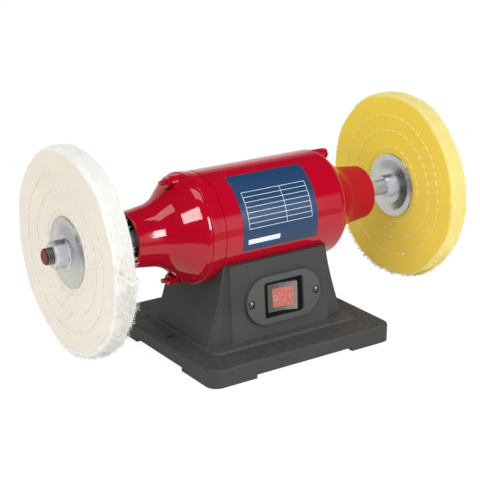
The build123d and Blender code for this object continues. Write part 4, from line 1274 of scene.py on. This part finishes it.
class BUFFER_OT_stage(bpy.types.Operator):
    """Set up the floor, the surround, the lamps and the camera"""

    bl_idname = "buffer.stage"
    bl_label = "Stage"

    floor_size = 6.0
    lamp_distance = 2.2
    sensor_width = 36.0
    warm_white = (1, 0.95, 0.82)

    def execute(self, context):
        stage = context.scene.buffer_stage
        self.floor(stage)
        self.surround(context.scene, stage)
        # Name, azimuth and elevation in degrees, size, brightness and turn in degrees
        cards = (("neck_card", 10.9, 19.2, (0.75, 0.9), stage.neck_glow, 0),
                 ("shoulder_card", -64.5, 28, (0.15, 0.78), stage.shoulder_glow, 30),
                 ("top_card", -43.6, 78.6, (2.37, 0.97), stage.card_glow, 23.5))
        for card in cards:
            self.lamp(*card).visible_diffuse = False
        washes = (("front_wash", 10, 22, (0.5, 1.1), stage.front_glow, 0),
                  ("top_wash", -24, 68, (2.4, 0.6), stage.top_glow, 0),
                  ("left_wash", -73, 29, (1.5, 1.5), stage.wash_glow, 0))
        for wash in washes:
            self.lamp(*wash).visible_glossy = False
        self.camera(context.scene, stage)
        context.scene.view_settings.view_transform = "Standard"
        return {"FINISHED"}

    def floor(self, stage):
        """A pale floor that is white to the camera and keeps a soft shadow."""
        half = self.floor_size / 2
        corners = [(-half, -half, 0), (half, -half, 0), (half, half, 0), (-half, half, 0)]
        floor = new_mesh("floor", corners, [(0, 1, 2, 3)])
        finish = Finish("pale_floor")
        seen, mirrored = finish.rays()
        x, y, _ = finish.split(finish.place)
        front = (y + 0.3 * x).spread(-0.43, -0.37, 0.04, 1.0)
        front = front.math("MAXIMUM", x.spread(0.0, 0.3, 0.0, 0.35))
        near = front * x.spread(-0.55, -0.42).math("MAXIMUM", y.spread(0.0, 0.15) * 0.75)
        mottle = finish.noise(0.4, 2.0)
        matte = finish.add("ShaderNodeBsdfDiffuse", None, {
            "Color": finish.shade(stage.floor, 0.98 + 0.03 * mottle)})
        white = finish.add("ShaderNodeEmission", None, {
            "Color": finish.blend((1, 1, 1), self.warm_white, mirrored),
            "Strength": 1.05 - mirrored * (1 - near)})
        share = (seen * 0.9 + mirrored).clamp()
        both = finish.add("ShaderNodeMixShader", None, {0: share, 1: matte, 2: white})
        output = finish.tree.nodes["Material Output"]
        finish.tree.links.new(both.socket, output.inputs["Surface"])
        finish.tree.nodes.remove(finish.shader)
        floor.data.materials.append(finish.material)

    def surround(self, scene, stage):
        """White to the camera, even light on matte surfaces, and a studio for what is glossy."""
        world = bpy.data.worlds.new("studio")
        world.use_nodes = True
        scene.world = world
        studio = Graph(world.node_tree)
        seen, mirrored = studio.rays()
        x, y, z = studio.split(studio.add("ShaderNodeTexCoord", out="Generated"))
        behind = y.spread(0.0, 0.5) * z.spread(0.6, 0.35) * 0.55
        right_board = x.spread(0.35, 0.5) * x.spread(0.64, 0.56) * z.spread(0.42, 0.28)
        left_wall = (-x).spread(0.5, 0.95) * y.spread(0.0, 0.3) * 0.45
        nut_card = x.spread(0.3, 0.34) * x.spread(0.47, 0.43) * y.spread(-0.5, -0.6)
        glow = behind
        for board in (right_board, left_wall, nut_card * z.spread(0.5, 0.4) * 1.2):
            glow = glow.math("MAXIMUM", board)
        strength = seen + mirrored * (0.03 + glow) + (1 - seen.clamp()) * (1 - mirrored) * stage.fill
        back = world.node_tree.nodes["Background"]
        back.inputs["Color"].default_value = (1, 1, 1, 1)
        studio.feed(back.inputs["Strength"], strength)

    def lamp(self, name, azimuth, elevation, size, glow, turn):
        """A soft box that looks at the object from a bearing, with a given brightness of its face."""
        light = bpy.data.lights.new(name, "AREA")
        light.shape = "RECTANGLE"
        light.size, light.size_y = size
        light.energy = glow * math.pi * size[0] * size[1]
        middle = Vector((0, 0, SPINDLE_HEIGHT))
        lamp = self.aimed(name, light, middle, (azimuth, elevation), self.lamp_distance, math.radians(turn))
        lamp.visible_camera = False
        return lamp

    def camera(self, scene, stage):
        """The photograph's view."""
        optics = bpy.data.cameras.new("camera")
        optics.lens = stage.lens
        optics.sensor_fit = "HORIZONTAL"
        optics.sensor_width = self.sensor_width
        target = Vector((stage.aim_x, 0, stage.aim_z))
        bearing = (math.degrees(stage.azimuth), math.degrees(stage.elevation))
        scene.camera = self.aimed("camera", optics, target, bearing, stage.distance, stage.roll)

    def aimed(self, name, data, target, bearing, distance, turn):
        """A lamp or camera that looks at a target from a bearing, turned about its line of sight."""
        away = toward(*bearing)
        look = (-away).to_track_quat("-Z", "Y").to_matrix() @ Matrix.Rotation(turn, 3, "Z")
        item = bpy.data.objects.new(name, data)
        bpy.context.scene.collection.objects.link(item)
        item.matrix_world = Matrix.Translation(target + away * distance) @ look.to_4x4()
        return item


OPERATORS = (
    BUFFER_OT_cloth_wheels,
    BUFFER_OT_motor_enamel,
    BUFFER_OT_bare_plate,
    BUFFER_OT_cast_base,
    BUFFER_OT_switch,
    BUFFER_OT_spindle_fittings,
    BUFFER_OT_screws,
    BUFFER_OT_inner_parts,
    BUFFER_OT_stage,
)


class BUFFER_PT_looks(bpy.types.Panel):
    """Lists the settings and the steps that dress the buffer"""

    bl_idname = "BUFFER_PT_looks"
    bl_label = "Bench Buffer"
    bl_space_type = "VIEW_3D"
    bl_region_type = "UI"
    bl_category = "Buffer"

    def draw(self, context):
        column = self.layout.column()
        for step in OPERATORS:
            column.operator(step.bl_idname)
        for group in SETTINGS:
            settings = getattr(context.scene, group)
            for key in settings.__annotations__:
                column.prop(settings, key)


SETTINGS = {
    "buffer_cloth": BufferClothSettings,
    "buffer_paint": BufferPaintSettings,
    "buffer_stage": BufferStageSettings,
}


def register():
    for group, settings in SETTINGS.items():
        bpy.utils.register_class(settings)
        setattr(bpy.types.Scene, group, bpy.props.PointerProperty(type=settings))
    for step in (*OPERATORS, BUFFER_PT_looks):
        bpy.utils.register_class(step)


def unregister():
    for step in reversed((*OPERATORS, BUFFER_PT_looks)):
        bpy.utils.unregister_class(step)
    for group, settings in SETTINGS.items():
        delattr(bpy.types.Scene, group)
        bpy.utils.unregister_class(settings)


def main():
    register()
    for step in OPERATORS:
        group, action = step.bl_idname.split(".")
        getattr(getattr(bpy.ops, group), action)()


if __name__ == "__main__":
    main()
